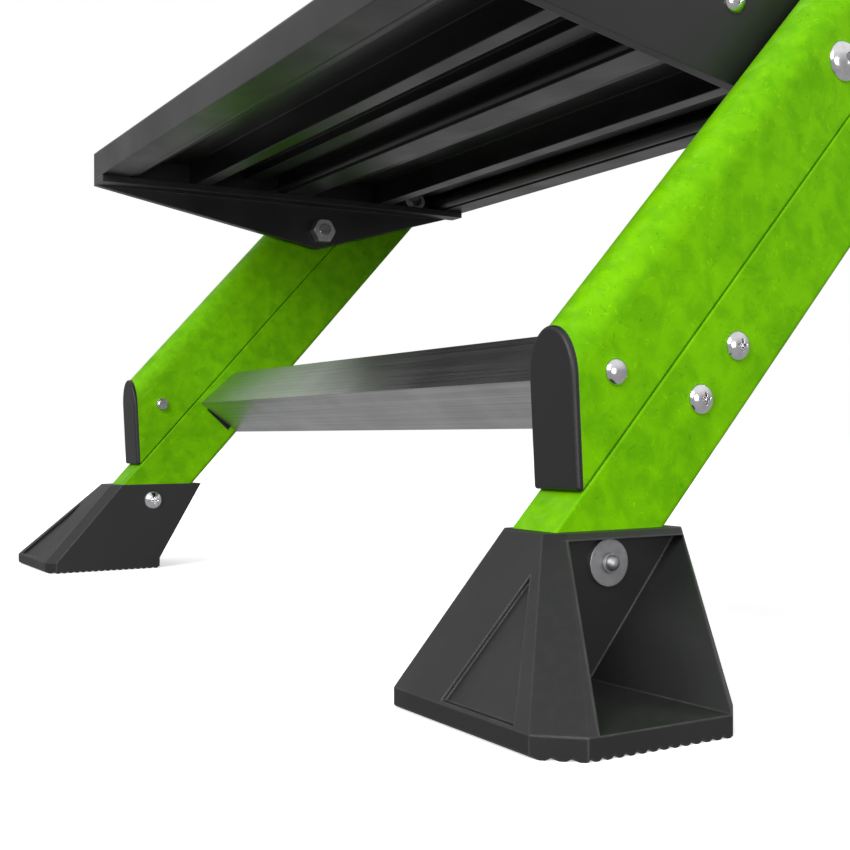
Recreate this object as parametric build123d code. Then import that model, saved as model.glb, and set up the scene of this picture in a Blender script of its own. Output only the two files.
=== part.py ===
"""Folding tripod ladder for orchard work: double fibreglass rails, deep treads that fold, one telescoping rear leg.

Frame: millimetres, +Z up, -Y is the climbing side, +X the climber's right hand. The origin is on the ground,
under the middle of the whole ladder. Each rail is a rear tube, which stands in the foot, and a front tube that
nests against it. The treads are the links between the two tubes, so the ladder folds as a parallelogram.
"""

from build123d import *
from math import cos, radians, sin, sqrt, tan
import os

# Rails
RAIL_LEAN = 47.27                # degrees above the ground
RAIL_INNER_X = 250.3             # half of the clear width between the rails
TUBE_WIDTH = 28.2                # along X, both tubes
TUBE_CORNER = 3.0                # outer corners of the rear tube
SEAM_CORNER = 1.0                # corners where the two tubes meet
TUBE_WALL = 3.2
REAR_TUBE_DEPTH = 39.8
SEAM_GAP = 0.4
FRONT_TUBE_DEPTH = 45.0
REAR_TUBE_TOP = 45.0             # rail left above the last rear pivot
FRONT_TUBE_TOP = 41.0            # rail left above the last front pivot

# Treads
TREAD_COUNT = 4
TREAD_RISE = 304.8
FIRST_TREAD_TOP = 304.8
TREAD_DEPTH = 307.0
TREAD_HEIGHT = 19.7
TREAD_REAR_OVERHANG = 44.4       # from the rear pivot to the tread's rear edge
DECK_SKIN = 1.8
DECK_RIDGE = 1.2
DECK_WALL = 2.5
DECK_RIDGE_PITCH = 7.0
DECK_EDGE_WIDTH = 19.7           # the hollow front and rear edges
DECK_KEEL_WIDTH = 21.8           # the deep rib in the middle
DECK_KEEL_FLANGE = 2.6
DECK_RIBS = (                    # centre as a share of the half depth, width, depth below the top
    (0.2072, 13.6, 9.5),
    (0.5065, 10.9, TREAD_HEIGHT),
    (0.759, 9.0, 9.0),
)
DECK_NOSE_RADIUS = 2.0
PLATE_THICKNESS = 6.0
PLATE_GAP = 3.6                  # between a side plate and the rail beside it
PLATE_DROP = 56.4                # from the tread's top to the plate's lowest point
PLATE_NOSE_RADIUS = 14.0
PLATE_FRONT_DROP = 24.6
PLATE_REAR_DROP = 22.4
PLATE_TOP_STEP = 1.2
SHELF_WIDTH = 15.0
SHELF_THICKNESS = 4.9
SHELF_SETBACK = 3.4              # the plate's rear edge, in from the deck's
DECK_SCREW_DROP = 13.8
DECK_SCREW_R = 2.5
DECK_SCREW_HEAD_R = 6.2
DECK_SCREW_LENGTH = 30.0
DECK_SCREW_EDGE = 23.1           # from the deck's front and rear edges
DECK_SCREW_MIDDLE = -7.0
DECK_BOSS_R = 5.2

# Fold pivots
REAR_PIVOT_PERP = 18.5           # forward of the rail's rear face
REAR_PIVOT_DROP = 13.3           # below the tread's top
FRONT_PIVOT_INSET = 18.4         # forward of the front tube's rear face
FRONT_PIVOT_DROP = 44.2
PIVOT_BOLT_R = 5.0
PIVOT_CLEARANCE = 0.05
PIVOT_HEAD_R = 9.2
PIVOT_HEAD_H = 4.6
PIVOT_NUT_AF = 17.0
PIVOT_NUT_H = 8.0
SPACER_R = 10.0
SLIP_GAP = 0.2                   # side play between parts that slide past each other

# Feet
FOOT_INNER_MARGIN = 3.0          # foot's inner side, inboard of the rail
FOOT_SPREAD = 72.8               # foot's outer side, outboard of the rail
FOOT_REAR_Y = 30.3               # slab's rear edge
FOOT_LENGTH = 82.3
SLAB_CLIP_IN = (8.0, 6.0)        # clipped corners of the slab, along X and along Y
SLAB_CLIP_OUT = (12.6, 13.0)
SLAB_CLIP_REAR = (10.0, 10.0)
COLLAR_CLIP_IN = (8.0, 6.0)
COLLAR_CLIP_OUT = (4.0, 8.0)
COLLAR_CLIP_REAR = (3.0, 3.0)
SLAB_HEIGHT = 7.5
FOOT_HEIGHT = 62.4
COLLAR_REAR = 5.0                # collar behind the rear tube, at the foot's top
COLLAR_FRONT = 7.2
COLLAR_SIDE = 5.8
POCKET_WALL = 2.5                # socket wall between the tube and the outer pocket
POCKET_LIP = 2.6
PANEL_DEPTH = 1.6
FOOT_WALL = 3.2
TUBE_END_HEIGHT = 30.0           # rear tube's lower end above the ground
SOCKET_CLEARANCE = 0.15
RIDGE_PITCH = 4.5
RIDGE_HEIGHT = 1.3
FOOT_BOLT_R = 2.0
FOOT_BOLT_PERP = 15.4            # forward of the rail's rear face
FOOT_BOLT_HEAD_R = 7.0
FOOT_BOLT_HEAD_H = 4.0
FOOT_NUT_R = 3.0
FOOT_NUT_H = 4.2
WASHER_R = 9.0
WASHER_THICKNESS = 1.5
WASHER_MARGIN = 0.3              # between the washer and the pocket's top

# Lower rung
RUNG_SETBACK = 2.8               # behind the rear tube's front face
RUNG_FRONT_LEAN = 4.6
RUNG_ALONG = 133.7
RUNG_HEIGHT = 37.0
RUNG_WALL = 2.6
RUNG_SPIGOT = 26.0
RUNG_SCREW_PERP = 20.5
RUNG_SCREW_ALONG = (134.2, 164.2)
RUNG_SCREW_HEAD_R = 6.35
RUNG_SCREW_R = 2.5
RUNG_INSERT_END = 12.0           # insert beyond the rung's two faces

# Lower caps of the front tubes
CAP_PLANE_Y = 15.2               # cut plane, behind the point where the rear face meets the ground
CAP_PLANE_HEIGHT = 111.0
CAP_PLANE_LEAN = 2.7
CAP_THICKNESS = 2.8
CAP_BEVEL = 1.6
CAP_PLUG = 14.0
CAP_RIVET_INSET = 18.8           # forward of the front tube's rear face
CAP_RIVET_ALONG = 112.2
CAP_RIVET_R = 3.0
CAP_RIVET_HEAD_R = 5.4
TOP_CAP_THICKNESS = 5.0

# Rear leg
POLE_LEAN = 66.0
HINGE_BAR_ALONG = 1518.2
HINGE_BAR_HEIGHT = 44.0
HINGE_BAR_DEPTH = 32.0
HINGE_BAR_WALL = 3.0
BAR_BOLT_R = 4.0
BAR_BOLT_SPREAD = 12.0           # each bolt from the bar's middle line
EAR_TIP_R = 16.0
POLE_PIN_PERP = -70.0
POLE_PIN_R = 6.0
POLE_WIDTH = 50.0
POLE_DEPTH = 44.0
POLE_WALL = 3.5
POLE_EYE_R = 20.0
POLE_TUBE_START = 26.0
POLE_TUBE_END = 800.0
POLE_TRAVEL = 250.0
POLE_OVERLAP = 220.0             # inner tube still inside the outer one at full length
POLE_RIVET_DISTANCE = 22.0       # below the outer tube's upper end
INNER_CLEARANCE = 0.3
INNER_WALL = 3.0
EAR_THICKNESS = 6.0
LOCK_HEIGHT = 46.0
LOCK_WALL = 5.0
LEVER_WIDTH = 34.0
LEVER_LENGTH = 66.0
LEVER_THICKNESS = 9.0
LEVER_PIN_R = 3.0
LEVER_PIN_DISTANCE = 20.0        # below the lock's upper end
LEVER_PIN_BACK = 8.0             # behind the lock's back
LOCK_LIP = 8.0                   # lock below the outer tube's end
LUG_THICKNESS = 6.0
POLE_FOOT_PIN_HEIGHT = 36.0
POLE_FOOT_PIN_R = 5.0
SHOE_CHEEK_X = 22.0
SHOE_PIN_HEAD_R = 8.0
ANKLE_WIDTH = 18.0
POLE_FOOT_LENGTH = 92.0
POLE_FOOT_WIDTH = 128.0
SOLE_HEIGHT = 9.0
BOLT_HOLE_CLEARANCE = 0.2

# Derived places, in a frame whose Y = 0 is where the rail's rear face meets the ground
RAIL_UP = Vector(0, cos(radians(RAIL_LEAN)), sin(radians(RAIL_LEAN)))
RAIL_FORWARD = Vector(0, -sin(radians(RAIL_LEAN)), cos(radians(RAIL_LEAN)))
RAIL_OUTER_X = RAIL_INNER_X + TUBE_WIDTH
TUBE_MIDDLE_X = RAIL_INNER_X + TUBE_WIDTH / 2
FRONT_TUBE_PERP = REAR_TUBE_DEPTH + SEAM_GAP
PLATE_OUTER_X = RAIL_INNER_X - PLATE_GAP
PLATE_INNER_X = PLATE_OUTER_X - PLATE_THICKNESS
FRONT_PIVOT_PERP = FRONT_TUBE_PERP + FRONT_PIVOT_INSET
CAP_RIVET_PERP = FRONT_TUBE_PERP + CAP_RIVET_INSET
RUNG_PERP = REAR_TUBE_DEPTH - RUNG_SETBACK
HALF_TREAD = TREAD_DEPTH / 2
DECK_SCREW_OFFSETS = (DECK_SCREW_EDGE - HALF_TREAD, DECK_SCREW_MIDDLE, HALF_TREAD - DECK_SCREW_EDGE)
FOOT_INNER_X = RAIL_INNER_X - FOOT_INNER_MARGIN
FOOT_OUTER_X = RAIL_OUTER_X + FOOT_SPREAD
POCKET_TOP = FOOT_HEIGHT - POCKET_LIP
FOOT_BOLT_HEIGHT = POCKET_TOP - WASHER_MARGIN - WASHER_R
INNER_START = POLE_TUBE_END - POLE_TRAVEL - POLE_OVERLAP
TREAD_RUN = TREAD_RISE / tan(radians(RAIL_LEAN))
HOLE = BOLT_HOLE_CLEARANCE


def rail_point(along, perp):
    """(y, z) of a point so far up the rail, and so far forward of its rear face."""
    point = RAIL_UP * along + RAIL_FORWARD * perp
    return point.Y, point.Z


def point_at_height(perp, height):
    """(y, z) of the point on a line parallel to the rail that is at this height."""
    along = (height - RAIL_FORWARD.Z * perp) / RAIL_UP.Z
    return rail_point(along, perp)


REAR_PIVOT = point_at_height(REAR_PIVOT_PERP, FIRST_TREAD_TOP - REAR_PIVOT_DROP)
FRONT_PIVOT = point_at_height(FRONT_PIVOT_PERP, FIRST_TREAD_TOP - FRONT_PIVOT_DROP)
TREAD_CENTRE_Y = REAR_PIVOT[0] + TREAD_REAR_OVERHANG - TREAD_DEPTH / 2
LAST_RISE = TREAD_RISE * (TREAD_COUNT - 1)
RAIL_LENGTH = LAST_RISE / RAIL_UP.Z
REAR_TUBE_LENGTH = Vector(0, *REAR_PIVOT).dot(RAIL_UP) + RAIL_LENGTH + REAR_TUBE_TOP
FRONT_TUBE_LENGTH = Vector(0, *FRONT_PIVOT).dot(RAIL_UP) + RAIL_LENGTH + FRONT_TUBE_TOP
BOLT_POINT = point_at_height(FOOT_BOLT_PERP, FOOT_BOLT_HEIGHT)
RIVET_POINT = rail_point(CAP_RIVET_ALONG, CAP_RIVET_PERP)
POLE_PIN = rail_point(HINGE_BAR_ALONG, POLE_PIN_PERP)
POLE_DOWN = Vector(0, cos(radians(POLE_LEAN)), -sin(radians(POLE_LEAN)))
POLE_BACK = Vector(0, sin(radians(POLE_LEAN)), cos(radians(POLE_LEAN)))
POLE_LENGTH = (POLE_PIN[1] - POLE_FOOT_PIN_HEIGHT) / -POLE_DOWN.Z
POLE_FOOT_PIN = (POLE_PIN[0] + POLE_DOWN.Y * POLE_LENGTH, POLE_FOOT_PIN_HEIGHT)
INNER_END = POLE_LENGTH - POLE_FOOT_PIN_R - 20
SLAB_FRONT_Y = FOOT_REAR_Y - FOOT_LENGTH
COLLAR_FRONT_Y = point_at_height(REAR_TUBE_DEPTH, FOOT_HEIGHT)[0] - COLLAR_FRONT
COLLAR_REAR_Y = point_at_height(0, FOOT_HEIGHT)[0] + COLLAR_REAR
COLLAR_OUTER_X = RAIL_OUTER_X + COLLAR_SIDE
POCKET_INNER_X = RAIL_OUTER_X + POCKET_WALL
FLARE_SLOPE = (COLLAR_FRONT_Y - SLAB_FRONT_Y) / (FOOT_HEIGHT - SLAB_HEIGHT)


# Basic shapes
def prism(points, low_x, high_x):
    """A straight bar along X with this (y, z) outline."""
    outline = make_face(Polyline(*points, close=True))
    return extrude(Plane.YZ.offset(low_x) * outline, amount=high_x - low_x, dir=(1, 0, 0))


def rod(centre, radius, low_x, high_x):
    """A round bar along X about (y, z)."""
    return extrude(Plane.YZ.offset(low_x) * Pos(*centre) * Circle(radius), amount=high_x - low_x, dir=(1, 0, 0))


def left_of(shape):
    return mirror(shape, about=Plane.YZ)


def pair_of(shape):
    return Compound(children=[shape, left_of(shape)])


def trim(shape, first, second, third, keep):
    """The part of a shape that lies on the same side of a plane as the point to keep."""
    across = Vector(*second) - Vector(*first)
    normal = across.cross(Vector(*third) - Vector(*first)).normalized()
    if (Vector(*keep) - Vector(*first)).dot(normal) < 0:
        normal = normal * -1
    return split(shape, bisect_by=Plane(origin=first, z_dir=normal), keep=Keep.TOP)


def rail_plane(along):
    """A section plane of the rail; its x is X and its y points backwards."""
    y, z = rail_point(along, 0)
    return Plane(origin=(0, y, z), x_dir=(1, 0, 0), z_dir=RAIL_UP)


def facing(x, centre, side):
    """The place of a fastener whose axis is X and whose head faces this side."""
    return Plane(origin=(x, centre[0], centre[1]), x_dir=(0, 1, 0), z_dir=(side, 0, 0))


def dome(radius, height):
    ball = (radius ** 2 + height ** 2) / (2 * height)
    return (Pos(0, 0, height - ball) * Sphere(ball)) & (Pos(0, 0, height / 2) * Cylinder(radius, height))


def shank(radius, length):
    return Pos(0, 0, -length / 2) * Cylinder(radius, length)


def cross_screw(head_r, head_h, shank_r, length):
    """A dome-headed screw with a cross recess; its seat is at z = 0."""
    slot = Box(head_r * 0.75, head_r * 0.16, head_h) + Box(head_r * 0.16, head_r * 0.75, head_h)
    return dome(head_r, head_h) - Pos(0, 0, head_h) * slot + shank(shank_r, length)


def socket_bolt(head_r, head_h, shank_r, length):
    """A dome-headed bolt with a round recess, such as a security bolt has."""
    recess = Pos(0, 0, head_h) * Cylinder(head_r * 0.34, head_h)
    return dome(head_r, head_h) - recess + shank(shank_r, length)


def hex_nut(across_flats, height, bore_r):
    """A nut that lies below z = 0, with a turned outer corner."""
    corner_r = across_flats / sqrt(3)
    blank = extrude(RegularPolygon(corner_r, 6), amount=-height)
    turned = chamfer(Cylinder(corner_r, height).edges().group_by(Axis.Z)[0], 0.9)
    return (blank & (Pos(0, 0, -height / 2) * turned)) - Pos(0, 0, -height / 2) * Cylinder(bore_r, height * 2)


def cap_nut():
    """A small nut with a domed closed end, standing on z = 0."""
    flange = Pos(0, 0, 0.6) * Cylinder(FOOT_NUT_R + 0.8, 1.2)
    return flange + dome(FOOT_NUT_R, FOOT_NUT_H) - Pos(0, 0, FOOT_NUT_H / 4) * Cylinder(FOOT_BOLT_R, FOOT_NUT_H / 2)


# Rails
def rear_tube_outline(inset, corner, seam_corner):
    width = TUBE_WIDTH - 2 * inset
    depth = REAR_TUBE_DEPTH - 2 * inset
    outline = Pos(TUBE_MIDDLE_X, -REAR_TUBE_DEPTH / 2) * Rectangle(width, depth)
    rear_corners = outline.vertices().group_by(Axis.Y)[-1]
    outline = fillet(rear_corners, corner)
    return fillet(outline.vertices().group_by(Axis.Y)[0], seam_corner)


def front_tube_outline(inset):
    radius = TUBE_WIDTH / 2 - inset
    low = FRONT_TUBE_PERP + inset
    high = FRONT_TUBE_PERP + FRONT_TUBE_DEPTH - inset - radius
    side = Pos(TUBE_MIDDLE_X, -(low + high) / 2) * Rectangle(2 * radius, high - low)
    side = fillet(side.vertices().group_by(Axis.Y)[-1], SEAM_CORNER)
    return side + Pos(TUBE_MIDDLE_X, -high) * Circle(radius)


def rear_tube():
    start = -REAR_TUBE_DEPTH
    run = REAR_TUBE_LENGTH - start
    outer = extrude(rail_plane(start) * rear_tube_outline(0, TUBE_CORNER, SEAM_CORNER), amount=run)
    inner = extrude(rail_plane(start) * rear_tube_outline(TUBE_WALL, 1.5, 1.5), amount=run)
    tube = outer - inner
    ground = (RAIL_INNER_X, 0, TUBE_END_HEIGHT)
    tube = trim(tube, ground, (0, 0, TUBE_END_HEIGHT), (0, 1, TUBE_END_HEIGHT), (0, 0, FIRST_TREAD_TOP))
    holes = [rod(BOLT_POINT, FOOT_BOLT_R + HOLE, RAIL_INNER_X - 1, RAIL_OUTER_X + 1)]
    for along in RUNG_SCREW_ALONG:
        place = rail_point(along, RUNG_SCREW_PERP)
        holes.append(rod(place, RUNG_SCREW_R + HOLE, RAIL_OUTER_X - TUBE_WALL - 1, RAIL_OUTER_X + 1))
    for step in range(TREAD_COUNT):
        holes.append(rod(pivot_at(REAR_PIVOT, step), PIVOT_BOLT_R + HOLE, RAIL_INNER_X - 1, RAIL_OUTER_X + 1))
    holes.append(extrude(rail_plane(RUNG_ALONG) * spigot_window(HOLE), amount=RUNG_HEIGHT))
    for along in hinge_bar_bolt_alongs():
        holes.append(back_bolt_hole(along, BAR_BOLT_R + HOLE))
    for hole in holes:
        tube -= hole
    return tube


def pivot_at(pivot, step):
    return pivot[0] + TREAD_RUN * step, pivot[1] + TREAD_RISE * step


def front_cut(offset):
    """Three points of the plane that ends the front tube, moved this far forward."""
    y = CAP_PLANE_Y - offset
    lean = tan(radians(CAP_PLANE_LEAN))
    return (0, y, CAP_PLANE_HEIGHT), (1, y, CAP_PLANE_HEIGHT), (0, y - lean, CAP_PLANE_HEIGHT + 1)


def front_bar(inset, top):
    """The front tube's outline as a solid bar, longer than the tube at its lower end."""
    return extrude(rail_plane(0) * front_tube_outline(inset), amount=top)


def front_tube():
    tube = front_bar(0, FRONT_TUBE_LENGTH) - front_bar(TUBE_WALL, FRONT_TUBE_LENGTH)
    tube = trim(tube, *front_cut(0), keep=(0, 999, CAP_PLANE_HEIGHT))
    tube -= rod(RIVET_POINT, CAP_RIVET_R + HOLE, RAIL_INNER_X - 1, RAIL_OUTER_X + 1)
    for step in range(TREAD_COUNT):
        tube -= rod(pivot_at(FRONT_PIVOT, step), PIVOT_BOLT_R + HOLE, RAIL_INNER_X - 1, RAIL_OUTER_X + 1)
    return tube


def front_tube_cap():
    """Black moulded cap: a bevelled face as large as the slanted cut, with a plug inside the tube."""
    cut = Plane(origin=(0, CAP_PLANE_Y, CAP_PLANE_HEIGHT), x_dir=(1, 0, 0),
                z_dir=(0, -cos(radians(CAP_PLANE_LEAN)), -sin(radians(CAP_PLANE_LEAN))))
    outline = section(front_bar(0, FRONT_TUBE_LENGTH), section_by=cut)
    face = extrude(outline, amount=CAP_THICKNESS, dir=cut.z_dir)
    front_edges = face.faces().sort_by(Axis(cut.origin, cut.z_dir))[-1].edges()
    face = fillet(front_edges, CAP_BEVEL)
    plug = front_bar(TUBE_WALL + SOCKET_CLEARANCE, FRONT_TUBE_LENGTH)
    plug = trim(plug, *front_cut(0), keep=(0, 999, CAP_PLANE_HEIGHT))
    plug = trim(plug, *front_cut(-CAP_PLUG), keep=(0, -999, CAP_PLANE_HEIGHT))
    return face + plug


def top_cap(outline, inner, length):
    """Cap on a tube's square upper end, with a plug inside."""
    lid = extrude(rail_plane(length) * outline, amount=TOP_CAP_THICKNESS)
    lid = fillet(lid.faces().sort_by(Axis((0, 0, 0), RAIL_UP))[-1].edges(), 1.5)
    return lid + extrude(rail_plane(length) * inner, amount=-CAP_PLUG)


# Feet
def foot_outline(inner_x, outer_x, front_y, rear_y, front_in, front_out, rear_out):
    """Seen from above: a rectangle with three clipped corners, each given as (along X, along Y)."""
    return [
        (inner_x, rear_y), (inner_x, front_y + front_in[1]), (inner_x + front_in[0], front_y),
        (outer_x - front_out[0], front_y), (outer_x, front_y + front_out[1]),
        (outer_x, rear_y - rear_out[1]), (outer_x - rear_out[0], rear_y),
    ]


def foot_body():
    slab = foot_outline(FOOT_INNER_X, FOOT_OUTER_X, SLAB_FRONT_Y, FOOT_REAR_Y,
                        SLAB_CLIP_IN, SLAB_CLIP_OUT, SLAB_CLIP_REAR)
    collar = foot_outline(FOOT_INNER_X, COLLAR_OUTER_X, COLLAR_FRONT_Y, COLLAR_REAR_Y,
                          COLLAR_CLIP_IN, COLLAR_CLIP_OUT, COLLAR_CLIP_REAR)
    base = extrude(make_face(Polyline(*slab, close=True)), amount=SLAB_HEIGHT)
    low = Pos(0, 0, SLAB_HEIGHT) * make_face(Polyline(*slab, close=True))
    high = Pos(0, 0, FOOT_HEIGHT) * make_face(Polyline(*collar, close=True))
    tower = loft([low, high], ruled=True)
    return base + tower


def pocket():
    """Open hollow on the foot's outer side, between the front wall and the rear fin."""
    middle = (FOOT_OUTER_X - 30, (SLAB_FRONT_Y + FOOT_REAR_Y) / 2, SLAB_HEIGHT + 5)
    space = Pos(POCKET_INNER_X + FOOT_SPREAD, 0, (SLAB_HEIGHT + POCKET_TOP) / 2) * Box(
        2 * FOOT_SPREAD, 4 * FOOT_LENGTH, POCKET_TOP - SLAB_HEIGHT)
    front = SLAB_FRONT_Y + FOOT_WALL * sqrt(1 + FLARE_SLOPE ** 2)
    space = trim(space, (0, front, SLAB_HEIGHT), (1, front, SLAB_HEIGHT),
                 (0, front + FLARE_SLOPE, SLAB_HEIGHT + 1), middle)
    clip_x = FOOT_OUTER_X - SLAB_CLIP_OUT[0] - FOOT_WALL * 0.4
    clip_y = SLAB_FRONT_Y + FOOT_WALL
    space = trim(space, (clip_x, clip_y, SLAB_HEIGHT),
                 (clip_x + SLAB_CLIP_OUT[0], clip_y + SLAB_CLIP_OUT[1], SLAB_HEIGHT),
                 (COLLAR_OUTER_X - 4, COLLAR_FRONT_Y + FOOT_WALL + 1, FOOT_HEIGHT), middle)
    fin_low_y = FOOT_REAR_Y - SLAB_CLIP_REAR[1]
    return trim(space, (POCKET_INNER_X, fin_low_y - 3, SLAB_HEIGHT), (FOOT_OUTER_X, fin_low_y, SLAB_HEIGHT),
                (POCKET_INNER_X, COLLAR_REAR_Y - FOOT_WALL, POCKET_TOP), middle)


def front_panel():
    """Shallow three-cornered recess in the front of the flare."""
    low = SLAB_HEIGHT + 0.8
    high = FOOT_HEIGHT - 13.5
    inner = RAIL_OUTER_X + 8
    outer = FOOT_OUTER_X - SLAB_CLIP_OUT[0] - 9
    corners = [(inner, low), (outer, low), (inner + 2.5, high)]
    face = make_face(Polyline(*corners, close=True))
    block = extrude(Plane(origin=(0, SLAB_FRONT_Y - 20, 0), x_dir=(1, 0, 0), z_dir=(0, -1, 0)) * face, amount=-99)
    edge_y = SLAB_FRONT_Y + PANEL_DEPTH * sqrt(1 + FLARE_SLOPE ** 2)
    return trim(block, (0, edge_y, SLAB_HEIGHT), (1, edge_y, SLAB_HEIGHT),
                (0, edge_y + FLARE_SLOPE, SLAB_HEIGHT + 1), (inner, -999, low))


def ridge_outline(y):
    half = RIDGE_PITCH / 2
    return [
        (y - half, RIDGE_HEIGHT + 1), (y - half, RIDGE_HEIGHT), (y - half * 0.72, RIDGE_HEIGHT * 0.5),
        (y - half * 0.3, 0), (y + half * 0.3, 0), (y + half * 0.72, RIDGE_HEIGHT * 0.5),
        (y + half, RIDGE_HEIGHT), (y + half, RIDGE_HEIGHT + 1),
    ]


def ridged(shape, front_y, rear_y, low_x, high_x):
    """A solid whose lowest layer is cut into ridges that run along X."""
    count = int((rear_y - front_y) / RIDGE_PITCH)
    start = (front_y + rear_y - (count - 1) * RIDGE_PITCH) / 2
    layer = Pos((low_x + high_x) / 2, (front_y + rear_y) / 2, RIDGE_HEIGHT / 2) * Box(
        high_x - low_x + 2, rear_y - front_y + 2, RIDGE_HEIGHT)
    for step in range(count):
        layer -= prism(ridge_outline(start + step * RIDGE_PITCH), low_x - 2, high_x + 2)
    return shape - layer


def foot():
    body = foot_body() - pocket() - front_panel()
    body = ridged(body, SLAB_FRONT_Y, FOOT_REAR_Y, FOOT_INNER_X, FOOT_OUTER_X)
    outline = rear_tube_outline(-SOCKET_CLEARANCE, TUBE_CORNER, SEAM_CORNER)
    socket = extrude(rail_plane(0) * outline, amount=FOOT_HEIGHT * 3)
    floor = (0, 0, TUBE_END_HEIGHT)
    body -= trim(socket, floor, (1, 0, TUBE_END_HEIGHT), (0, 1, TUBE_END_HEIGHT), (0, 0, FOOT_HEIGHT * 9))
    return body - rod(BOLT_POINT, FOOT_BOLT_R + HOLE, FOOT_INNER_X - 9, FOOT_OUTER_X)


# Lower rung, its inserts and screws
def rung_outline(inset):
    """(perp, along) corners of the rung: a box in line with the rail, whose front stands a little forward."""
    low, high = RUNG_ALONG + inset, RUNG_ALONG + RUNG_HEIGHT - inset
    return [
        (0.6 + inset, low + 3.8), (RUNG_PERP - inset, low), (RUNG_PERP - RUNG_FRONT_LEAN - inset, high),
        (2.6 + inset, high + 1.5),
    ]


def rung():
    outer = [rail_point(along, perp) for perp, along in rung_outline(0)]
    inner = [rail_point(along, perp) for perp, along in rung_outline(RUNG_WALL)]
    return prism(outer, -RAIL_INNER_X, RAIL_INNER_X) - prism(inner, -RAIL_INNER_X, RAIL_INNER_X)


def spigot_place():
    """(depth, middle) of the insert's spigot, which fits between the rung's front and rear walls."""
    depth = RUNG_PERP - RUNG_FRONT_LEAN - 2 * RUNG_WALL - 4
    return depth, RUNG_WALL + 3.5 + depth / 2


def spigot_window(clearance):
    """Section of the hole through the rear tube's inner wall."""
    depth, middle = spigot_place()
    return Pos(RAIL_INNER_X + TUBE_WALL / 2, -middle) * Rectangle(TUBE_WALL + 2, depth + 2 * clearance)


def rung_insert():
    """Block inside the rear tube that takes the two screws, with a spigot that goes into the rung."""
    inset = TUBE_WALL + SOCKET_CLEARANCE
    start = RUNG_ALONG - RUNG_INSERT_END
    block = extrude(rail_plane(start) * rear_tube_outline(inset, 2.0, 2.0), amount=RUNG_HEIGHT + 2 * RUNG_INSERT_END)
    spigot_depth, middle = spigot_place()
    reach = RUNG_SPIGOT + TUBE_WALL + 2
    spigot_x = RAIL_INNER_X + TUBE_WALL + 2 - reach / 2
    low = RUNG_ALONG + RUNG_WALL + 4
    block += extrude(rail_plane(low) * Pos(spigot_x, -middle) * Rectangle(reach, spigot_depth),
                     amount=RUNG_HEIGHT - 2 * RUNG_WALL - 6)
    for along in RUNG_SCREW_ALONG:
        place = rail_point(along, RUNG_SCREW_PERP)
        block -= rod(place, RUNG_SCREW_R, RAIL_OUTER_X - TUBE_WALL - 20, RAIL_OUTER_X)
    return block


def rung_screws():
    screw = cross_screw(RUNG_SCREW_HEAD_R, 3.4, RUNG_SCREW_R, TUBE_WALL + 18)
    return [facing(RAIL_OUTER_X, rail_point(along, RUNG_SCREW_PERP), 1) * screw for along in RUNG_SCREW_ALONG]


# Treads, built about the middle of the deck's top face
def deck_section():
    skin = DECK_SKIN + DECK_RIDGE
    shape = Pos(0, -DECK_RIDGE - DECK_SKIN / 2) * Rectangle(TREAD_DEPTH, DECK_SKIN)
    ridges = int((TREAD_DEPTH - 30) / DECK_RIDGE_PITCH)
    for step in range(ridges):
        y = (step - (ridges - 1) / 2) * DECK_RIDGE_PITCH
        shape += Pos(y, -DECK_RIDGE / 2) * Rectangle(DECK_RIDGE_PITCH * 0.5, DECK_RIDGE)
    for y, width, depth in deck_ribs():
        shape += Pos(y, -depth / 2) * Rectangle(width, depth)
    for y, width, depth in deck_ribs():
        hollow = Rectangle(width - 2 * DECK_WALL, depth - skin - DECK_WALL)
        shape -= Pos(y, -(skin + depth - DECK_WALL) / 2) * hollow
    keel = Rectangle(DECK_KEEL_WIDTH, TREAD_HEIGHT)
    keel -= Pos(0, -0.3) * Rectangle(DECK_KEEL_WIDTH - 2 * DECK_WALL, TREAD_HEIGHT - 2 * DECK_KEEL_FLANGE)
    shape += Pos(0, -TREAD_HEIGHT / 2) * keel
    for y in DECK_SCREW_OFFSETS:
        shape += Pos(y, -DECK_SCREW_DROP) * Circle(DECK_BOSS_R)
    for y in DECK_SCREW_OFFSETS:
        shape -= Pos(y, -DECK_SCREW_DROP) * Circle(DECK_SCREW_R)
    return shape


def deck_ribs():
    """(offset from the deck's middle line, width, depth) of each hollow rib, and of the two hollow edges."""
    edge = ((HALF_TREAD - DECK_EDGE_WIDTH / 2) / HALF_TREAD, DECK_EDGE_WIDTH, TREAD_HEIGHT)
    return [(side * share * HALF_TREAD, width, depth)
            for share, width, depth in (*DECK_RIBS, edge) for side in (-1, 1)]


def local(point):
    """A (y, z) place in the first tread's own frame."""
    return point[0] - TREAD_CENTRE_Y, point[1] - FIRST_TREAD_TOP


def nut_relief():
    """Room for the rear pivot's nut as the tread turns about it."""
    return rod(local(REAR_PIVOT), PIVOT_NUT_AF / sqrt(3) + 0.3, PLATE_INNER_X - PIVOT_NUT_H - 5, PLATE_INNER_X)


def tread_deck():
    deck = extrude(Plane.YZ.offset(-PLATE_INNER_X) * deck_section(), amount=2 * PLATE_INNER_X, dir=(1, 0, 0))
    nose = [edge for edge in deck.edges()
            if abs(edge.center().Z) < 0.01 and abs(abs(edge.center().Y) - HALF_TREAD) < 0.01]
    deck = fillet(nose, DECK_NOSE_RADIUS)
    return deck - nut_relief() - left_of(nut_relief())


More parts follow.
